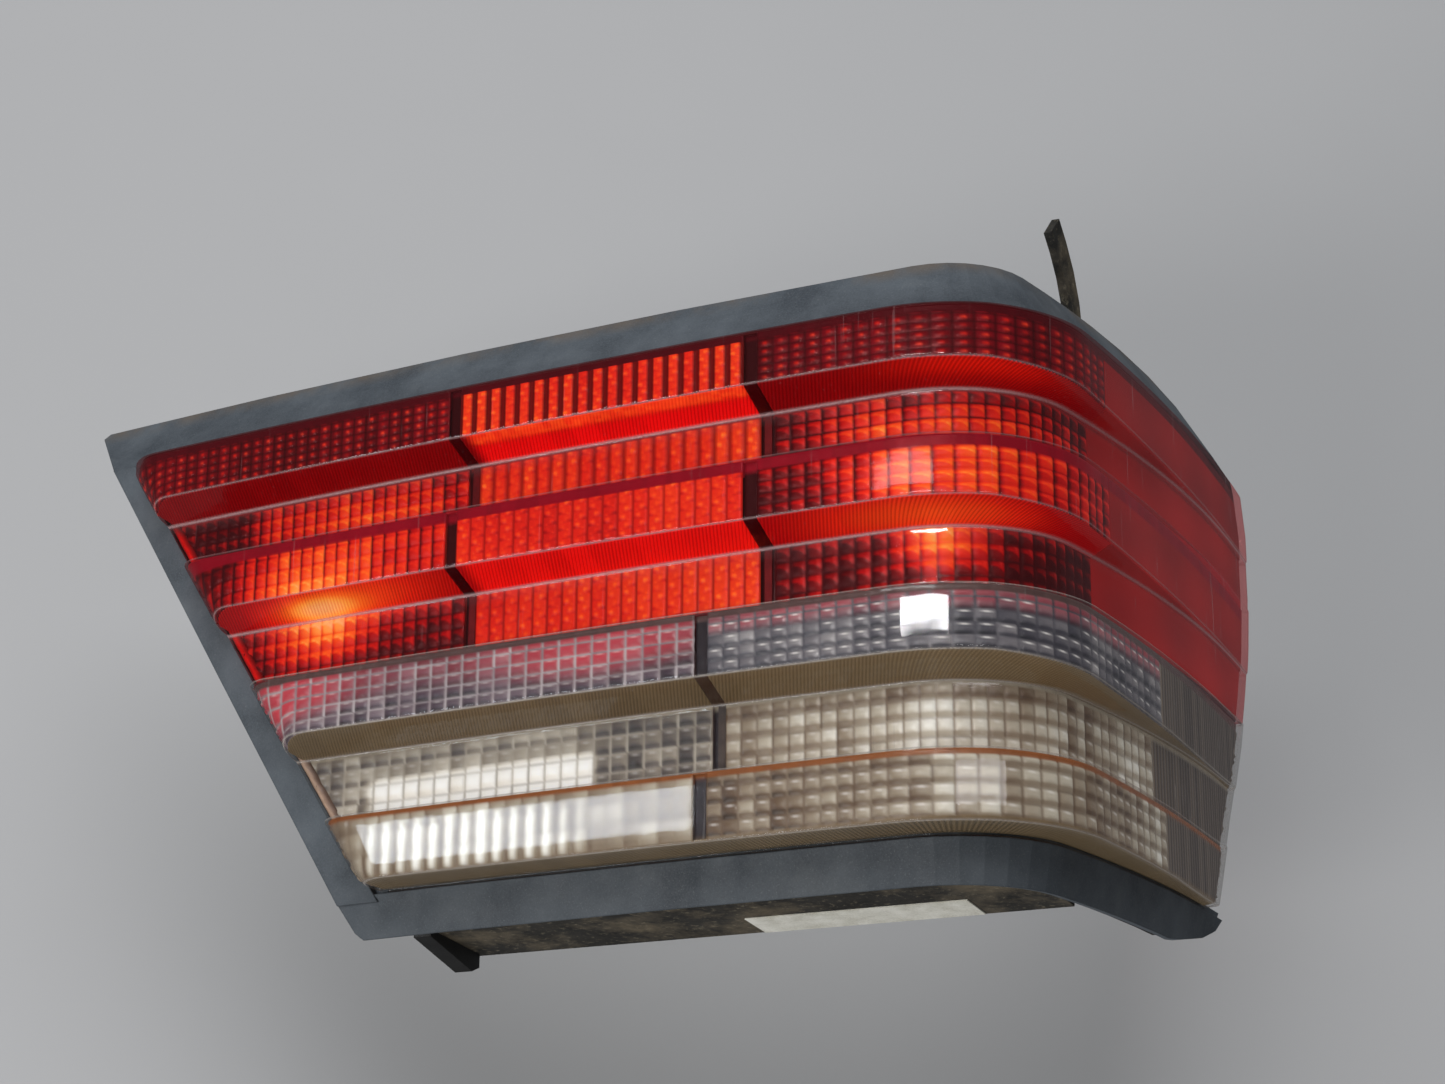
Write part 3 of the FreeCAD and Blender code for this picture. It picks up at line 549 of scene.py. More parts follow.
def patch(name, band, s0, s1, pitch, rows, style, fine=7, margin=(0.0, 0.0), depth=DEEP, per_row=7):
    """One area of lens optics: cells of the given pitch and number of rows."""
    top, bot, o0, o1 = BANDS[band]
    cols = max(1, int(round((s1 - s0) / pitch)))
    S = np.linspace(s0, s1, cols * fine + 1)
    T = np.linspace(0, 1, rows * per_row + 1)
    ss, tt = np.meshgrid(S, T)
    for _ in range(2):
        tp, bt = top(ss) - margin[0], bot(ss) + margin[1]
        low = tp + (bt - tp) * tt
        left = s_left(low, 0.6) + 2.0
        right = s_right(low) - 2.0
        ss = np.clip(np.meshgrid(S, T)[0], left, right)
    cu = (np.meshgrid(S, T)[0] - s0) / (s1 - s0) * cols
    ci = np.minimum(np.floor(cu + 1e-9), cols - 1)
    u = cu - ci
    cv = tt * rows
    cj = np.minimum(np.floor(cv + 1e-9), rows - 1)
    v = cv - cj
    k = o0 + (o1 - o0) * tt
    base = raised(ss, low) * k - depth
    h, col = style(dict(s=ss, low=low, ci=ci, cj=cj, u=u, v=v, t=tt, cols=cols, rows=rows, S=S))
    P = world(ss, base + h, low)
    return grid_object(name, P, paint=col)


def dome(u, v, power=2.0):
    return (1 - np.abs(2 * u - 1) ** power) * (1 - np.abs(2 * v - 1) ** power)


# painted glow of the lamp parts behind the red lens, as seen at the surface: brightness painted into the optics
# colours, not light from a lamp
def painted_red_glow(s, low):
    g = 1.15 * blob(s, low, -224, 12, 20, 14)
    g += 0.55 * blob(s, low, -214, 24, 34, 16)
    g += 0.50 * blob(s, low, -205, 46, 40, 11)
    g += 0.75 * blob(s, low, 10, 30, 26, 16)
    g += 0.55 * blob(s, low, 8, 48, 34, 10)
    g += 1.05 * blob(s, low, 13, 9.5, 13, 9)
    g += 0.35 * blob(s, low, 38, 34, 26, 18)
    return g


# ramp of painted light for the red optics: dark maroon cells in painted shade up to pale yellow painted glow
PAINTED_LIGHT_RAMP = [(0.0, lin(46, 4, 10)), (0.2, lin(100, 8, 14)), (0.4, lin(168, 16, 20)), (0.6, lin(212, 50, 28)), (0.8, lin(230, 90, 36)), (1.0, lin(248, 144, 48)), (1.2, lin(255, 214, 90)), (1.5, lin(255, 242, 160))]


def painted_light(x):
    xs = [p for p, _ in PAINTED_LIGHT_RAMP]
    return np.stack([np.interp(x, xs, [c[i] for _, c in PAINTED_LIGHT_RAMP]) for i in range(3)], -1)


def style_dots(p, dot=1.0, base=None, seed=1.0, tint=0.0):
    """Small square pillows in painted light: painted domed shading, one painted bright point where the light comes
    through, a painted dark spot and painted shade along two cell edges.
    """
    base = lin(100, 10, 22) if base is None else base
    u, v = p["u"], p["v"]
    rnd = hash2(p["ci"], p["cj"], seed)
    r = np.hypot((u - 0.52) / 0.135, (v - 0.5 - 0.1 * (rnd - 0.5)) / 0.20)
    lit = np.exp(-r ** 2)
    core = np.exp(-(r / 0.5) ** 2)
    col = mixc(base * 0.62 + 0 * lit[..., None], base * 1.25, dome(u, v, 3) * (0.4 + 0.6 * rnd))
    # painted shade: a dark spot low on the right of each cell
    col = mixc(col, lin(36, 4, 10), 0.75 * np.exp(-(np.hypot((u - 0.72) / 0.16, (v - 0.82) / 0.22)) ** 2))
    shade = 0.70 + 0.6 * hash2(p["ci"], 3.0, seed)
    col = col * shade[..., None]
    g = painted_red_glow(p["s"], p["low"])
    bright = painted_light(0.50 + 0.22 * rnd + 0.25 * g)
    amount = lit * dot * (0.25 + 0.75 * hash2(p["ci"], p["cj"], seed + 5))
    col = mixc(col, bright, amount)
    # painted glint: a pale core on about half of the bright points
    col = mixc(col, lin(255, 120, 90), 0.5 * core * dot * (rnd > 0.55))
    # painted shade along the left and top edge of each cell
    edge = 1 - 0.45 * np.exp(-((u - 0.02) / 0.07) ** 2) - 0.25 * np.exp(-((v - 0.02) / 0.08) ** 2)
    return 0.6 * np.exp(-(r / 1.8) ** 2), col * np.clip(edge, 0.1, 1)[..., None]


def style_reflex(p, gap=0.22, gap_dark=0.7, seed=2.0, level=0.62, line=0.5):
    """Tall columns of small prisms in painted light: painted sparkles and painted dark spots on the prisms, and painted
    shade in the gaps between the columns.
    """
    u, v = p["u"], p["v"]
    s, low = p["s"], p["low"]
    inside = smooth(gap * 0.5, gap * 0.5 + 0.12, u) * (1 - smooth(1 - gap * 0.5 - 0.12, 1 - gap * 0.5, u))
    side = np.where(np.mod(p["cj"], 2) > 0, 1.0, -1.0)
    r1 = np.hypot((u - 0.5 - 0.13 * side) / 0.14, (v - 0.42) / 0.27)
    r2 = np.hypot((u - 0.5 + 0.17 * side) / 0.10, (v - 0.88) / 0.18)
    a1, a2 = hash2(p["ci"], p["cj"], seed), hash2(p["ci"], p["cj"], seed + 3)
    spark = np.exp(-r1 ** 2) * (0.25 + 1.0 * a1) + 0.7 * np.exp(-r2 ** 2) * a2
    dark = np.exp(-(np.hypot((u - 0.5 - 0.30 * side) / 0.10, (v - 0.72) / 0.22)) ** 2) * (0.4 + 0.6 * a2) + 0.7 * np.exp(-(np.hypot((u - 0.5 + 0.02 * side) / 0.13, (v - 0.98) / 0.14)) ** 2)
    var = 0.12 * (hash2(p["ci"], 1.0, seed) - 0.5) + 0.05 * np.sin(s * 0.05 + low * 0.1 + seed)
    col = painted_light(level + var + 0.30 * spark - 0.30 * dark)
    gapc = lin(120, 10, 8) * (1.2 - gap_dark * 0.85)
    col = mixc(gapc + 0 * col, col, np.clip(inside + (1 - gap_dark) * 0.55, 0, 1))
    col = mixc(col, lin(120, 16, 10), line * np.exp(-((u - 0.03) / 0.05) ** 2))
    h = 0.45 * inside + 0.35 * spark * inside
    return h, col


def style_pillow(p, level=0.45, gain=0.55, seed=4.0, edge=0.45, hump=0.6, top_shade=0.2, skew=0.0, tall=0.0, dim=None):
    """Square cells in painted light: each brighter to one side, with a painted dark left edge, a curved painted lit
    facet and a brightness that follows the painted glow.
    """
    u, v = p["u"], p["v"]
    s = p["s"]
    g = painted_red_glow(s, p["low"])
    rnd = hash2(p["ci"], p["cj"], seed)
    col_rnd = hash2(p["ci"], 9.0, seed)
    d = dome(u, v, 3.0)
    x = level + gain * g + 0.20 * (rnd - 0.5) + 0.14 * (col_rnd - 0.5)
    if dim is not None:
        x = x - dim(p)
    x = x + 0.20 * (u - 0.5)
    arc = v - 0.30 - 0.45 * (u - 0.1) ** 2
    x = x - 0.16 * smooth(-0.02, 0.10, arc) * (1 - tall) + 0.12 * np.exp(-((arc + 0.06) / 0.06) ** 2) * (0.5 + g)
    x = x - edge * np.exp(-(u / 0.13) ** 2) - 0.35 * edge * np.exp(-((1 - u) / 0.05) ** 2)
    x = x - edge * 0.55 * (1 - 0.6 * tall) * np.exp(-((v - 1.0) / 0.09) ** 2) - top_shade * (1 - 0.5 * tall) * np.exp(-(v / 0.09) ** 2)
    col = painted_light(np.maximum(x, 0.02))
    # painted glint: a small pink highlight near the top right of about half the cells
    col = mixc(col, lin(255, 96, 80), 0.30 * np.exp(-(np.hypot((u - 0.75) / 0.08, (v - 0.2) / 0.10)) ** 2) * (rnd > 0.5))
    return hump * d, col


def style_plain(color, grain=0.08, seed=7.0, low_gain=0.0):
    def f(p):
        w = 0.5 * hash2(np.floor(p["s"] * 1.3), np.floor(p["low"] * 1.3), seed)
        col = color[None, None, :] * (1 - grain / 2 + grain * w)[..., None]
        return 0.0 * p["s"], col
    return f


def style_ribs(color_fn, pitch=1.3, lean=0.55, depth=0.22, dark=0.42, light=0.30):
    """Fine slanted ribs, with painted shade in the grooves and a painted highlight on the crests."""
    def f(p):
        ph = 2 * math.pi * (p["s"] + lean * 10 * p["t"]) / pitch
        w = 0.5 + 0.5 * np.sin(ph)
        col = color_fn(p)
        k = 1 - dark * (1 - w) ** 1.5 + light * w ** 4
        k = k * (0.92 + 0.16 * hash2(np.floor(p["s"] / 9.0), 2.0, 3.0))
        return depth * w, col * k[..., None]
    return f


def topped(style, band, stops):
    """Bands that start with plain strips; stops is (share of the height, colour, cell rows hidden)."""
    def f(p):
        h, col = style(p)
        t = p["t"]
        for a, b, c, soft in stops:
            m = smooth(a - soft, a + soft, t) * (1 - smooth(b - soft, b + soft, t)) if a > 0 else 1 - smooth(b - soft, b + soft, t)
            col = mixc(col, c[None, None, :] * (0.9 + 0.2 * hash2(np.floor(p["s"] / 3.0), band, 3.3))[..., None], m)
            h = h * (1 - m)
        return h, col
    return f


m_red_opt = optics_material("lens_red_optics", glow=0.42, spec=0.25)
m_clear_opt = optics_material("lens_clear_optics", glow=0.30, rough=0.25, spec=0.35)


def thicken(ob, amount=0.0006):
    so = ob.modifiers.new("wall", "SOLIDIFY")
    so.thickness = amount
    so.offset = -1.0
    so.use_even_offset = False


def put(ob, mat):
    ob.data.materials.append(mat)
    thicken(ob)
    return ob


def smooth_red(level):
    def f(p):
        s, low = p["s"], p["low"]
        n = 0.5 + 0.25 * np.sin(s * 0.11 + low * 0.05) + 0.25 * np.sin(low * 0.23 - s * 0.03 + 1.3)
        c = mixc(lin(150, 20, 22) + 0 * s[..., None], lin(178, 30, 28), n)
        c = c * (level * (1.0 - 0.20 * smooth(190, 250, s)))[..., None]
        return 0 * s, c
    return f


# painted glow: the slope colour follows the painted glow of the lamp parts, with a painted bright patch (lift) near s =
# 24
def slope_one(p):
    s, low, t = p["s"], p["low"], p["t"]
    g = painted_red_glow(s, low)
    mid_ = smooth(-158, -152, s) * (1 - smooth(-52, -46, s))
    top = (1 - smooth(0.20, 0.42, t)) * mid_
    col = painted_light(0.25 + 0.26 * g * smooth(-100, -30, s) + 0.22 * mid_ + 0.0 * t)
    col = mixc(col, painted_light(0.66 + 0.16 * hash2(np.floor(s / 2.8), np.floor(t * 9), 2.0)), top)
    col = mixc(col, lin(206, 16, 20), 0.85 * mid_ * smooth(0.25, 0.5, t))
    lift = blob(s, 8 * t, 24, 1.5, 26, 3.5)
    return mixc(col, lin(224, 40, 20), 0.75 * lift) * (1.15 + 0.35 * mid_[..., None])


# painted glow: bright patches painted on the slope near s = -222, -196, -5 and 22
def slope_two(p):
    s, low, t = p["s"], p["low"], p["t"]
    mid_ = smooth(-158, -152, s) * (1 - smooth(-52, -46, s))
    x = 0.34 + 0.15 * mid_ + 0.95 * blob(s, 10 * t, -222, 6.5, 19, 5.5) + 0.34 * blob(s, 10 * t, -196, 4, 30, 9)
    x = x + 0.30 * blob(s, 10 * t, -5, 5, 30, 9) + 0.32 * blob(s, 10 * t, 22, 6, 26, 6)
    return mixc(painted_light(x), lin(206, 20, 20), 0.8 * mid_) * (1.15 + 0.35 * mid_[..., None])


DARK_RED = lin(52, 6, 12)
MAGENTA = lin(124, 6, 36)
EDGE_TOP = lin(66, 6, 18)
# compartments, dividers and patterns of the red lens
C1, G1, C2, G2, C3 = (-330.0, -163.2), (-163.2, -158.6), (-158.6, -49.4), (-49.4, -44.4), (-44.4, 81.0)
C4 = (81.0, 262.0)
STRIPS = {"b1": "reflex_strip_one", "b2": "reflex_strip_two", "b3": "reflex_strip_three", "b4": "reflex_strip_four"}


def red_band(b, left, middle, right, wrap, stops):
    k = {"b1": 1.0, "b2": 2.0, "b3": 3.0, "b4": 4.0}[b]
    wrapit = lambda q: (q[0], q[1], topped(q[2], k, stops))
    put(patch("optics_%s_inner" % b, b, *C1, *wrapit(left)), m_red_opt)
    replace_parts(put(patch("optics_%s_reflex" % b, b, *C2, *wrapit(middle)), m_red_opt), STRIPS[b])
    put(patch("optics_%s_corner" % b, b, *C3, *wrapit(right)), m_red_opt)
    put(patch("optics_%s_wrap" % b, b, *C4, *wrapit(wrap)), m_red_opt)
    for n_, g_ in (("a", G1), ("b", G2)):
        put(patch("optics_%s_gap_%s" % (b, n_), b, g_[0], g_[1], 2.4, 3, topped(style_plain(DARK_RED * 0.7), k, stops), 3, depth=DEEP + 1.2), m_red_opt)


def far_left(a, z, amount):
    return lambda p: amount * (1 - smooth(a, z, p["s"]))


red_band("b1", (5.1, 6, lambda p: style_dots(p, seed=1.0)), (5.63, 7, lambda p: style_reflex(p, 0.36, 0.95, seed=2.0, level=0.64)),
         (5.6, 6, lambda p: style_dots(p, seed=3.0, dot=0.85, base=lin(96, 10, 24))), (7.0, 5, smooth_red(0.62)), [(0, 0.13, EDGE_TOP, 0.01)])
red_band("b2", (5.1, 4, lambda p: style_pillow(p, level=0.56, seed=4.0, dim=lambda q: 0.42 * (1 - smooth(-262, -246, q["s"])) + 0.14 * smooth(-195, -165, q["s"]))),
         (5.63, 6, lambda p: style_reflex(p, 0.20, 0.5, seed=5.0, level=0.67)),
         (5.6, 4, lambda p: style_pillow(p, level=0.58, seed=6.0, top_shade=0.5, edge=0.4, dim=lambda q: 0.20 * (1 - smooth(-38, -14, q["s"])) + 0.30 * (1 - q["t"]) * smooth(-12, 6, q["s"]))),
         (7.0, 5, smooth_red(0.76)), [(0, 0.05, lin(120, 20, 22), 0.02), (0.80, 1.2, lin(150, 12, 32), 0.05)])
red_band("b3", (5.1, 4, lambda p: style_pillow(p, level=0.47, seed=7.0, edge=0.5, tall=0.8, dim=lambda q: 0.30 * (1 - smooth(-262, -238, q["s"])))),
         (5.63, 7, lambda p: style_reflex(p, 0.04, 0.3, seed=8.0, level=0.58, line=0.35)),
         (5.6, 5, lambda p: style_pillow(p, level=0.46, gain=0.52, seed=9.0, tall=0.3, dim=lambda q: 0.16 * (1 - smooth(-20, 0, q["s"])))),
         (7.0, 5, smooth_red(0.72)), [(0, 0.19, MAGENTA, 0.02)])
red_band("b4", (5.1, 4, lambda p: style_pillow(p, level=0.30, gain=0.74, seed=10.0, edge=0.25, dim=lambda q: 0.10 * q["t"])),
         (5.63, 7, lambda p: style_reflex(p, 0.12, 0.45, seed=11.0, level=0.65)),
         (5.6, 4, lambda p: style_pillow(p, level=0.24, gain=0.82, seed=12.0, edge=0.28, dim=lambda q: 0.12 * smooth(30, 60, q["s"]))),
         (7.0, 5, smooth_red(0.80)), [(0.93, 1.2, lin(60, 14, 18), 0.015)])
for b, fn in (("sl1", slope_one), ("sl2", slope_two)):
    rib = style_ribs(fn)
    for n_, (a_, z_) in {"inner": C1, "reflex": C2, "corner": C3}.items():
        put(patch("optics_%s_%s" % (b, n_), b, a_, z_, 4.0, 5, rib, 14, per_row=4), m_red_opt)
    for n_, (a_, z_) in {"a": G1, "b": G2}.items():
        put(patch("optics_%s_gap_%s" % (b, n_), b, a_, z_, 2.4, 4, style_plain(DARK_RED * 0.8), 3), m_red_opt)
    put(patch("optics_%s_wrap" % b, b, *C4, 7.0, 3, smooth_red(0.60)), m_red_opt)


# clear lens
def tone(x, stops):
    xs = [p for p, _ in stops]
    return np.stack([np.interp(x, xs, [c[i] for _, c in stops]) for i in range(3)], -1)


WARM = [(0.0, lin(38, 34, 34)), (0.25, lin(84, 76, 74)), (0.5, lin(138, 128, 116)), (0.75, lin(190, 182, 168)), (1.0, lin(240, 236, 226)), (1.3, lin(255, 255, 252))]
TAN = [(0.0, lin(50, 40, 30)), (0.5, lin(116, 98, 72)), (1.0, lin(168, 150, 118))]


def style_clear(p, level=0.5, seed=20.0, fill=None, rim=0.85, gain=None, hump=0.55, rim_w=0.09, stops=WARM, spark=0.5, shade=0.3, across=0.7):
    """Rounded square cells of the clear lens, with silvery borders, painted shade over the lower part of each cell and
    a painted highlight dash near the top of most cells.
    """
    u, v = p["u"], p["v"]
    rnd = hash2(p["ci"], p["cj"], seed)
    cr = hash2(p["ci"], 5.0, seed)
    d = dome(u, v, 3)
    x = level + 0.24 * (rnd - 0.5) + 0.26 * (cr - 0.5) + 0.15 * (u - 0.5)
    if gain is not None:
        x = x + gain(p)
    arc = v - 0.55 - 0.25 * (u - 0.5) ** 2
    x = x - shade * smooth(-0.05, 0.12, arc) * (0.5 + 0.5 * rnd)
    col = tone(np.maximum(x, 0.03), stops)
    if fill is not None:
        c, amt = fill(p)
        col = mixc(col, c, amt * smooth(0.05, 0.4, d))
    bu = np.exp(-(np.minimum(u, 1 - u) / rim_w) ** 2)
    bv = np.exp(-(np.minimum(v, 1 - v) / (rim_w * 1.1)) ** 2) * across
    border = np.maximum(bu, bv)
    col = mixc(col, tone(np.clip(rim + 0.25 * (rnd - 0.5), 0, 1.3) + 0 * u, stops), 0.8 * border)
    # painted highlight: a short bright dash near the top of most cells
    dash = np.exp(-(np.hypot((u - 0.5) / 0.22, (v - 0.14) / 0.06)) ** 2) * (hash2(p["ci"], p["cj"], seed + 8) > 0.35)
    col = mixc(col, lin(244, 240, 236), spark * dash)
    return hump * d, col


def fill_five(p):
    t, s = p["t"], p["s"]
    left = np.maximum(blob(s, 0 * t, -228, 0, 30, 9), 0.9 * blob(s, 0 * t, -104, 0, 42, 9))
    amt = (1 - smooth(0.45, 0.95, t + 0.25 * (1 - left))) * (0.25 + 0.75 * left)
    return lin(196, 62, 74) + 0 * s[..., None], amt * (0.75 + 0.25 * hash2(p["ci"], p["cj"], 31.0))


def fill_five_right(p):
    t, s = p["t"], p["s"]
    return lin(176, 74, 84) + 0 * s[..., None], (1 - smooth(0.22, 0.42, t)) * (0.35 + 0.45 * hash2(p["ci"], p["cj"], 33.0))


PURPLE = [(0.0, lin(40, 32, 38)), (0.25, lin(84, 70, 80)), (0.5, lin(122, 106, 114)), (0.75, lin(172, 160, 162)), (1.0, lin(226, 220, 220)), (1.3, lin(255, 255, 252))]
GREY = [(0.0, lin(34, 34, 40)), (0.25, lin(72, 70, 78)), (0.5, lin(118, 114, 118)), (0.75, lin(172, 168, 168)), (1.0, lin(232, 230, 228)), (1.3, lin(255, 255, 255))]
BROWN_LINE = [(0.0, lin(44, 32, 26)), (0.25, lin(104, 84, 68)), (0.5, lin(150, 136, 118)), (0.75, lin(196, 188, 172)), (1.0, lin(240, 238, 230)), (1.3, lin(255, 255, 252))]


# painted highlight: cells lighter between s -203 and -108 below the top rows; darker beyond -112 and towards the inner
# end
def painted_glare_six(p):
    s, t = p["s"], p["t"]
    hot = smooth(-203, -196, s) * (1 - smooth(-112, -108, s)) * smooth(0.38, 0.46, t)
    return 0.75 * hot - 0.18 * smooth(-112, -104, s) - 0.10 * (1 - smooth(-230, -210, s))


# painted reflection: a glare lighting the flutes between s -196 and -96 below the top strip
def painted_glare_seven(p):
    s, t = p["s"], p["t"]
    u = p["u"]
    hot = smooth(-196, -186, s) * (1 - smooth(-122, -96, s))
    flute = 0.5 + 0.5 * np.cos(2 * math.pi * (u - 0.5))
    return hot * (0.10 + 0.75 * (flute - 0.35) * smooth(0.12, 0.3, t)) - 0.12


# painted highlight around s = 12; the code also darkens the top rows and lightens towards the outer end
def six_right(p):
    s, t = p["s"], p["t"]
    return 0.22 * blob(s, 0 * t, 12, 0, 30, 9) * smooth(0.1, 0.4, t) - 0.16 * (1 - smooth(0.12, 0.3, t)) + 0.10 * smooth(60, 110, s)


# painted highlight around s = 22; also lighter towards the outer end and darker towards the inner end
def seven_right(p):
    s, t = p["s"], p["t"]
    return 0.16 * blob(s, 0 * t, 22, 0, 22, 9) + 0.20 * smooth(82, 116, s) - 0.05 - 0.12 * (1 - smooth(-50, -10, s))


CL1, CG, CL2, CL3 = (-330.0, -66.6), (-66.6, -61.8), (-61.8, 124.0), (124.0, 262.0)


def flutes(level, stops=WARM):
    def f(p):
        u = p["u"]
        w = 0.5 + 0.5 * np.cos(2 * math.pi * u)
        n = hash2(p["ci"], 2.0, 40.0)
        # painted shading across each flute
        x = level + 0.30 * (w - 0.5) + 0.10 * (n - 0.5)
        col = tone(np.maximum(x, 0.02), stops)
        return 0.45 * w, mixc(col, lin(176, 148, 116), 0.55 * np.exp(-((u - 0.5) / 0.09) ** 2) * (0.4 + 0.6 * n))
    return f


def clear_band(b, left, right, stops, rows_gap=3):
    k = {"b5": 5.0, "b6": 6.0, "b7": 7.0}[b]
    wrapit = lambda q: (q[0], q[1], topped(q[2], k, stops))
    put(patch("optics_%s_inner" % b, b, *CL1, *wrapit(left)), m_clear_opt)
    put(patch("optics_%s_corner" % b, b, *CL2, *wrapit(right)), m_clear_opt)
    put(patch("optics_%s_gap" % b, b, *CG, 2.4, rows_gap, topped(style_plain(lin(40, 32, 36)), k, stops), 3, depth=DEEP + 1.2), m_clear_opt)
    put(patch("optics_%s_wrap" % b, b, *CL3, 2.7, 3, topped(flutes(0.20), k, stops)), m_clear_opt)


AMBER = lin(132, 76, 38)
clear_band("b5", (6.3, 5, lambda p: style_clear(p, 0.34, 21.0, fill_five, rim=0.74, stops=PURPLE, spark=0.3)),
           (5.6, 5, lambda p: style_clear(p, 0.44, 22.0, fill_five_right, rim=0.30, stops=GREY, spark=0.75, across=0.5)), [(0, 0.11, lin(84, 62, 60), 0.015)])
clear_band("b6", (6.3, 4, lambda p: style_clear(p, 0.58, 23.0, None, rim=0.60, gain=painted_glare_six, stops=WARM, spark=0.3)),
           (5.6, 4, lambda p: style_clear(p, 0.62, 24.0, None, rim=0.28, gain=six_right, stops=BROWN_LINE, spark=0.4)), [(0, 0.05, lin(150, 140, 124), 0.02)])
clear_band("b7", (6.3, 3, lambda p: style_clear(p, 0.62, 25.0, None, rim=0.42, gain=painted_glare_seven, stops=BROWN_LINE, spark=0.1, across=0.25, shade=0.1)),
           (5.6, 4, lambda p: style_clear(p, 0.58, 26.0, None, rim=0.30, gain=seven_right, stops=BROWN_LINE, spark=0.5)), [(0, 0.085, AMBER, 0.02), (0.955, 1.2, lin(120, 100, 74), 0.01)])
rib_tan = style_ribs(lambda p: tone(0.50 - 0.10 * p["t"] + 0.10 * blob(p["s"], 0 * p["t"], 20, 0, 60, 9), TAN), 1.25, 0.6)
for n_, (a_, z_) in {"inner": CL1, "corner": CL2, "wrap": CL3}.items():
    put(patch("optics_sl3_%s" % n_, "sl3", a_, z_, 4.0, 5, rib_tan, 14, per_row=4), m_clear_opt)
put(patch("optics_sl3_gap", "sl3", *CG, 2.4, 4, style_plain(lin(60, 44, 34)), 3), m_clear_opt)
BANDS["foot"] = (lambda s: -HALF + 1.6 + 0 * s, lambda s: -HALF + 1.2 + 0 * s, 1, 1)


def foot_strip(name, s0, s1, style, mat, low_a, low_b, drop):
    """The strip of lens wall below the last band."""
    S = np.linspace(s0, s1, max(2, int((s1 - s0) / 0.42)))
    T = np.linspace(0, 1, 7)
    ss, tt = np.meshgrid(S, T)
    low = low_a + (low_b - low_a) * tt
    ss = np.clip(ss, s_left(low) + 2.0, s_right(low) - 2.0)
    out = (raised(ss, low) - DEEP) * (1 - tt) + drop * tt
    h, col = style(dict(s=ss, low=low, t=tt, ci=0 * ss, cj=0 * ss, u=0 * ss, v=0 * ss))
    return put(grid_object(name, world(ss, out, low + 0 * h), paint=col), mat)


foot_strip("optics_foot_wall", -330, 262, style_ribs(lambda p: tone(0.55 + 0 * p["s"], TAN), 1.6, 0.0), m_clear_opt, -HALF + 1.6, -HALF + 0.9, -4.8)
foot_strip("optics_head_wall", -330, 262, style_plain(lin(60, 6, 14)), m_red_opt, HALF - 0.6, HALF - 0.4, -4.8)
# steps behind the upper edges of the raised bands
for nm_, lev, mat_, c_ in (("one", S1, m_red_opt, lin(130, 8, 30)), ("two", S2, m_red_opt, lin(90, 20, 24)), ("three", S3, m_clear_opt, AMBER)):
    def step(lev=lev, nm_=nm_, mat_=mat_, c_=c_):
        S = np.linspace(-330, 262, 400)
        T = np.linspace(0, 1, 5)
        ss, tt = np.meshgrid(S, T)
        low = lev - 0.1 - 0.5 * tt
        ss = np.clip(ss, s_left(low) + 2.0, s_right(low) - 2.0)
        out = -DEEP - 1.0 + (raised(ss, low) + 1.0) * tt
        col = c_[None, None, :] * (0.8 + 0.4 * hash2(np.floor(ss / 2.0), np.floor(tt * 4), 5.0))[..., None]
        ob = put(grid_object("optics_step_%s" % nm_, world(ss, out, low), paint=col), mat_)
        if nm_ == "two":
            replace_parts(ob, "amber_strip_short")
        if nm_ == "three":
            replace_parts(ob, "amber_strip_long")
    step()

def left_border(name, low_a, low_b, color_fn, mat):
    """Smooth margin of the lens along its slanted inner end."""
    L = np.linspace(low_a, low_b, 90)
    E = np.array([0.35, 0.9, 1.5, 2.2, 3.0, 3.8, 4.6])
    ee, ll = np.meshgrid(E, L)
    ss = s_left(ll, 0.6) + ee
    out = -1.9 - 0.10 * np.cos(ll * 0.9) + 0.5 * np.sin(np.pi * (ee - 0.35) / 4.25)
    col = color_fn(ee, ll)
    col = col * (0.86 + 0.28 * hash2(np.floor(ll / 1.7), np.floor(ee / 0.8), 12.0))[..., None]
    ob = grid_object(name, world(ss, out, ll), paint=col)
    ob.data.materials.append(mat)
    thicken(ob)
    return ob


def border_red(e, low):
    # painted glow: bright red along the middle of the border beside the bands between S2 and R1, and a painted shade
    # line where it meets the cells
    hot = smooth(S2, S2 + 4, low) * (1 - smooth(R1 - 6, R1 + 2, low))
    core = np.exp(-((e - 1.9) / 1.1) ** 2)
    col = mixc(lin(70, 6, 12) + 0 * e[..., None], lin(196, 24, 18), hot * (0.35 + 0.65 * core))
    return mixc(col, lin(30, 5, 8), 0.8 * np.exp(-((e - 4.3) / 0.5) ** 2))


def border_clear(e, low):
    # painted highlight along the middle of the border and a painted shade line where it meets the cells
    core = np.exp(-((e - 1.6) / 1.0) ** 2)
    col = mixc(lin(86, 62, 54) + 0 * e[..., None], lin(186, 158, 138), 0.25 + 0.65 * core)
    return mixc(col, lin(44, 30, 26), 0.8 * np.exp(-((e - 4.2) / 0.5) ** 2))


left_border("optics_border_red", HALF - 1.5, S2 + 0.2, border_red, m_red_opt)
left_border("optics_border_clear", S2 - 0.2, -HALF + 2.0, border_clear, m_clear_opt)

# ---------------------------------------------------------------- stage
N_UP = Vector((-0.419, -0.859, -0.294)).normalized()
floor_at = -0.180


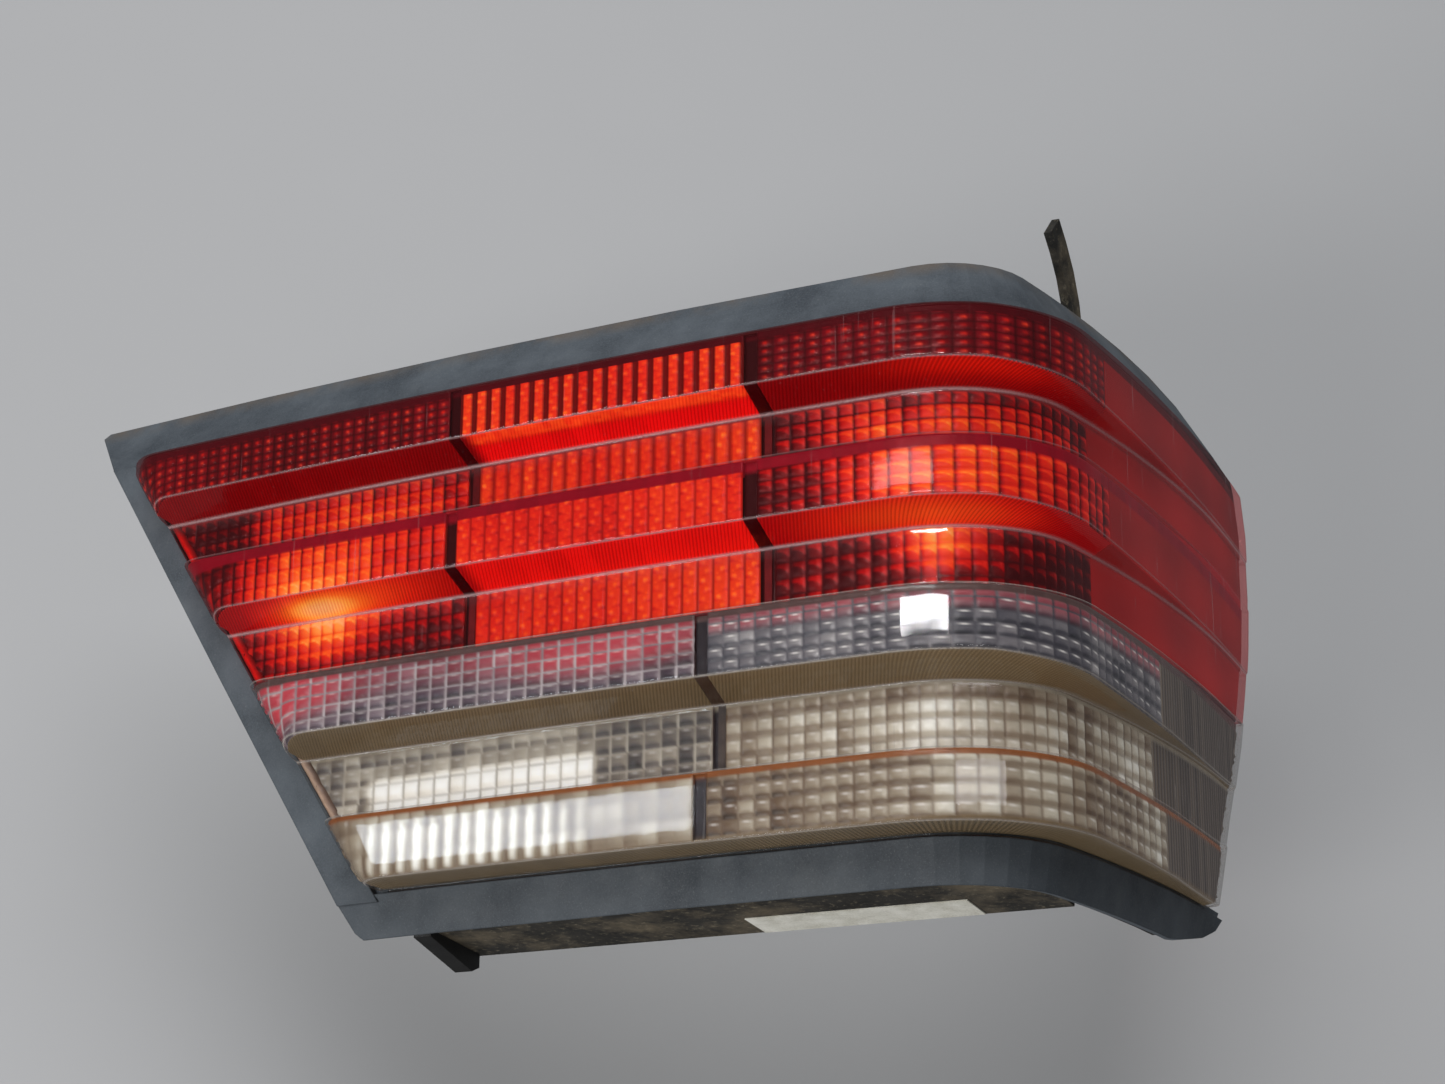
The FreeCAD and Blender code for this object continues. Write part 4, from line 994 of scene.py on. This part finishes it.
def floor():
    side = N_UP.orthogonal().normalized()
    other = N_UP.cross(side)
    c = N_UP * floor_at
    P = []
    for i in range(41):
        for j in range(41):
            a, b = (i - 20) / 20 * 3.0, (j - 20) / 20 * 3.0
            P.append(c + side * a + other * b)
    faces = [(i * 41 + j, (i + 1) * 41 + j, (i + 1) * 41 + j + 1, i * 41 + j + 1) for i in range(40) for j in range(40)]
    me = bpy.data.meshes.new("floor")
    me.from_pydata([tuple(v) for v in P], [], faces)
    if me.polygons[0].normal.dot(N_UP) < 0:
        me.flip_normals()
    ob = bpy.data.objects.new("floor", me)
    scene.collection.objects.link(ob)
    g = Nodes("floor_pale")
    n = g.noise(3.0, 4, 0.5)
    fine = g.noise(140, 3, 0.5)
    col = g.mix(g.range(n, 0.3, 0.7), tuple(lin(186, 187, 189)), tuple(lin(194, 194, 196)))
    p = g.principled(Base_Color=col, Roughness=g.range(fine, 0.3, 0.7, 0.55, 0.7))
    geo = g.n("ShaderNodeNewGeometry")
    tr = g.n("ShaderNodeBsdfTransparent")
    mx = g.n("ShaderNodeMixShader")
    g.put(mx, 0, geo.outputs["Backfacing"])
    g.put(mx, 1, p.outputs[0])
    g.put(mx, 2, tr.outputs[0])
    ob.data.materials.append(g.end(mx.outputs[0]))
    ob.visible_shadow = False
    ob.visible_glossy = False


floor()
world_ = bpy.data.worlds.new("studio")
scene.world = world_
world_.use_nodes = True
world_.node_tree.nodes["Background"].inputs[0].default_value = (0.93, 0.96, 1.0, 1)
world_.node_tree.nodes["Background"].inputs[1].default_value = 0.16


def area(name, where, target, size, power, color=(1, 1, 1), size_y=None):
    d = bpy.data.lights.new(name, "AREA")
    d.shape = "RECTANGLE"
    d.size = size
    d.size_y = size_y or size
    d.energy = power
    d.color = color
    o = bpy.data.objects.new(name, d)
    scene.collection.objects.link(o)
    o.location = where
    o.rotation_euler = (Vector(target) - Vector(where)).to_track_quat("-Z", "Y").to_euler()
    return o


def mirror_card(name, up, s0, s1, low0, low1, reach, radiance, color=(1, 1, 1)):
    """A small lamp placed where the lens mirrors it to the camera over this patch; up is 1 on raised bands."""
    eye = np.array(EYE)

    def spot(s, low):
        f = lambda a, b: world(a, up * RISE * fade(a), b)
        p = f(s, low)
        n_ = np.cross(f(s + 0.5, low) - f(s - 0.5, low), f(s, low + 0.5) - f(s, low - 0.5))
        n_ /= np.linalg.norm(n_)
        v = (p - eye) / np.linalg.norm(p - eye)
        return p + reach * (v - 2 * v.dot(n_) * n_)
    A, B, C, D = spot(s0, low0), spot(s1, low0), spot(s1, low1), spot(s0, low1)
    c = (A + B + C + D) / 4
    ex = (B + C - A - D) / 2
    ey = (A + B - C - D) / 2
    w, h = np.linalg.norm(ex), np.linalg.norm(ey)
    ex = Vector(ex).normalized()
    ez = ex.cross(Vector(ey)).normalized()
    ey = ez.cross(ex)
    centre = world((s0 + s1) / 2, up * RISE, (low0 + low1) / 2)
    if ez.dot(Vector(c - centre)) < 0:
        ez, ex = -ez, -ex
    d = bpy.data.lights.new(name, "AREA")
    d.shape = "RECTANGLE"
    d.size, d.size_y = float(w), float(h)
    d.energy = float(radiance * math.pi * w * h)
    d.color = color
    o = bpy.data.objects.new(name, d)
    scene.collection.objects.link(o)
    m = Matrix((ex, ey, ez)).transposed().to_4x4()
    m.translation = Vector(c)
    o.matrix_world = m
    o.visible_camera = False
    o.visible_diffuse = False
    return o


mid = Vector((0.02, -0.06, 0.0))
key_ = area("key", mid + Vector((-0.30, -0.65, -0.72)).normalized() * 1.7, mid, 1.6, 23)
key_.visible_glossy = False
area("fill", mid + Vector((0.30, -0.80, 0.34)).normalized() * 1.6, mid, 1.5, 13, (1.0, 0.985, 0.96), 0.4)
rear_ = area("rear", mid + Vector((0.25, 0.85, 0.30)).normalized() * 1.3, mid, 0.9, 9)
rear_.visible_glossy = False
mirror_card("card_corner", 1, 4.4, 16.0, -9.6, -25.0, 0.40, 55.0)
mirror_card("card_corner_dim", 1, -2.0, 13.0, 31.0, 12.0, 0.45, 6.0)
mirror_card("card_inner", 1, -193.0, -66.0, -62.0, -83.0, 0.40, 16.0, (0.82, 0.92, 1.0))
mirror_card("card_low", 1, 17.0, 29.0, -62.0, -83.0, 0.40, 8.0)

# ---------------------------------------------------------------- CAD nodes
nodes = frame["nodes"]


def paint_node(name, mat):
    ob = nodes[name]
    if not ob.material_slots:
        ob.data.materials.append(mat)
    for sl in ob.material_slots:
        sl.material = mat


def weathering(g, col):
    """Brown stain along the low edge, dust specks and a darker upper strip."""
    geo = g.n("ShaderNodeNewGeometry")
    sep = g.n("ShaderNodeSeparateXYZ")
    g.put(sep, 0, geo.outputs["Position"])
    z = sep.outputs[2]
    edge = g.range(z, -0.1035, -0.1085, 0.0, 1.0)
    at_ = g.coords()
    stain = g.math("MULTIPLY", edge, g.range(g.noise(40, 5, 0.65, at_), 0.42, 0.60))
    col = g.mix(g.math("MULTIPLY", stain, 0.65), col, tuple(lin(104, 92, 80)))
    pale = g.range(g.noise(26, 6, 0.7, at_), 0.54, 0.70)
    col = g.mix(g.math("MULTIPLY", pale, 0.35), col, tuple(lin(112, 117, 120)))
    upper = g.range(z, 0.083, 0.090, 0.0, 1.0)
    col = g.mix(g.math("MULTIPLY", upper, 0.25), col, tuple(lin(52, 58, 65)))
    specks = g.range(g.noise(2100, 2, 0.5, at_), 0.60, 0.76)
    return g.mix(g.math("MULTIPLY", specks, 0.40), col, tuple(lin(128, 132, 134)))


def grime(g, col):
    """Dried tan dirt in patches."""
    at_ = g.coords()
    a = g.range(g.noise(34, 6, 0.7, at_), 0.46, 0.66)
    col = g.mix(g.math("MULTIPLY", a, 0.75), col, tuple(lin(122, 110, 90)))
    b = g.range(g.noise(420, 4, 0.7, at_), 0.56, 0.70)
    return g.mix(g.math("MULTIPLY", b, 0.5), col, tuple(lin(150, 140, 118)))


m_housing = plastic("housing_weathered", lin(58, 64, 71), lin(92, 99, 106), 0.66, 16.0, bevel=0.0007, extra=weathering)
m_strip = plastic("strip_worn", lin(20, 20, 19), lin(52, 50, 46), 0.85, 60.0, bevel=0.0005, extra=grime)
m_shield = plastic("shield_dirty", lin(28, 27, 26), lin(58, 55, 50), 0.8, 26.0, bevel=0.0005, extra=grime)
m_div_red = plastic("divider_maroon", lin(72, 9, 16), lin(124, 20, 30), 0.45, 60.0)
m_div_clear = plastic("divider_brown", lin(44, 34, 32), lin(84, 68, 60), 0.45, 60.0)
m_dark = plastic("dark_plastic", lin(20, 20, 21), lin(38, 37, 36), 0.55, 20.0, bevel=0.0004)
m_rubber = plastic("seal_rubber", lin(18, 17, 16), lin(48, 45, 40), 0.8, 30.0, bevel=0.0006)
m_carrier = plastic("carrier_plastic", lin(150, 150, 148), lin(188, 188, 184), 0.5, 12.0, bevel=0.0005)
m_tan = plastic("rim_tan", lin(140, 104, 84), lin(176, 138, 116), 0.45, 30.0)
m_metal = plastic("bright_metal", lin(170, 172, 176), lin(214, 216, 220), 0.25, 20.0)
m_brass = plastic("brass", lin(150, 112, 52), lin(196, 158, 84), 0.3, 40.0)
m_steel = plastic("steel", lin(120, 120, 118), lin(176, 176, 172), 0.35, 60.0)
m_paper = plastic("paper", lin(206, 203, 188), lin(242, 240, 230), 0.85, 60.0)
m_bulb = plastic("bulb_glass", lin(190, 196, 198), lin(220, 226, 228), 0.08, 30.0)
m_bulb_amber = plastic("bulb_amber", lin(196, 98, 16), lin(226, 130, 34), 0.1, 30.0)
SLOTS = {"housing_plastic": m_housing, "dark_plastic": m_dark, "seal_rubber": m_rubber, "carrier_plastic": m_carrier, "rim_tan": m_tan,
         "bright_metal": m_metal, "brass": m_brass, "steel": m_steel, "paper": m_paper, "bulb_glass": m_bulb, "bulb_amber": m_bulb_amber,
         "lens_red": m_red, "lens_clear": m_clear, "reflex_orange": m_bulb_amber, "amber": m_bulb_amber}
guess = {"housing": m_housing, "end_rim": m_tan, "label_blank": m_paper, "studs": m_steel, "contact_strips": m_brass, "plug_pins": m_brass, "plug_socket": m_dark, "bulb_carrier": m_carrier, "carrier_seal": m_rubber, "wrap_liner": m_dark, "locating_tab": m_dark, "upper_shield": m_shield, "divider_inner": m_div_red, "divider_outer": m_div_red, "divider_clear": m_div_clear, "divider_level": m_div_red}
for nm in nodes:
    if nm in guess:
        paint_node(nm, guess[nm])
    elif nm == "seal_strip_end":
        paint_node(nm, m_strip)
    elif nm.startswith("gasket"):
        paint_node(nm, m_rubber)
    elif nm.startswith("divider") or nm.startswith("screw") or nm.startswith("thumb"):
        paint_node(nm, m_dark)
    elif nm.startswith("reflector"):
        paint_node(nm, m_metal)
    elif nm.startswith("reflex") or nm.startswith("amber"):
        paint_node(nm, m_bulb_amber)
    elif nm.startswith("socket"):
        paint_node(nm, m_steel)
    elif nm.startswith("bulb_base"):
        paint_node(nm, m_brass)
    elif nm.startswith("bulb_glass"):
        paint_node(nm, m_bulb_amber if nm.endswith("turn") else m_bulb)
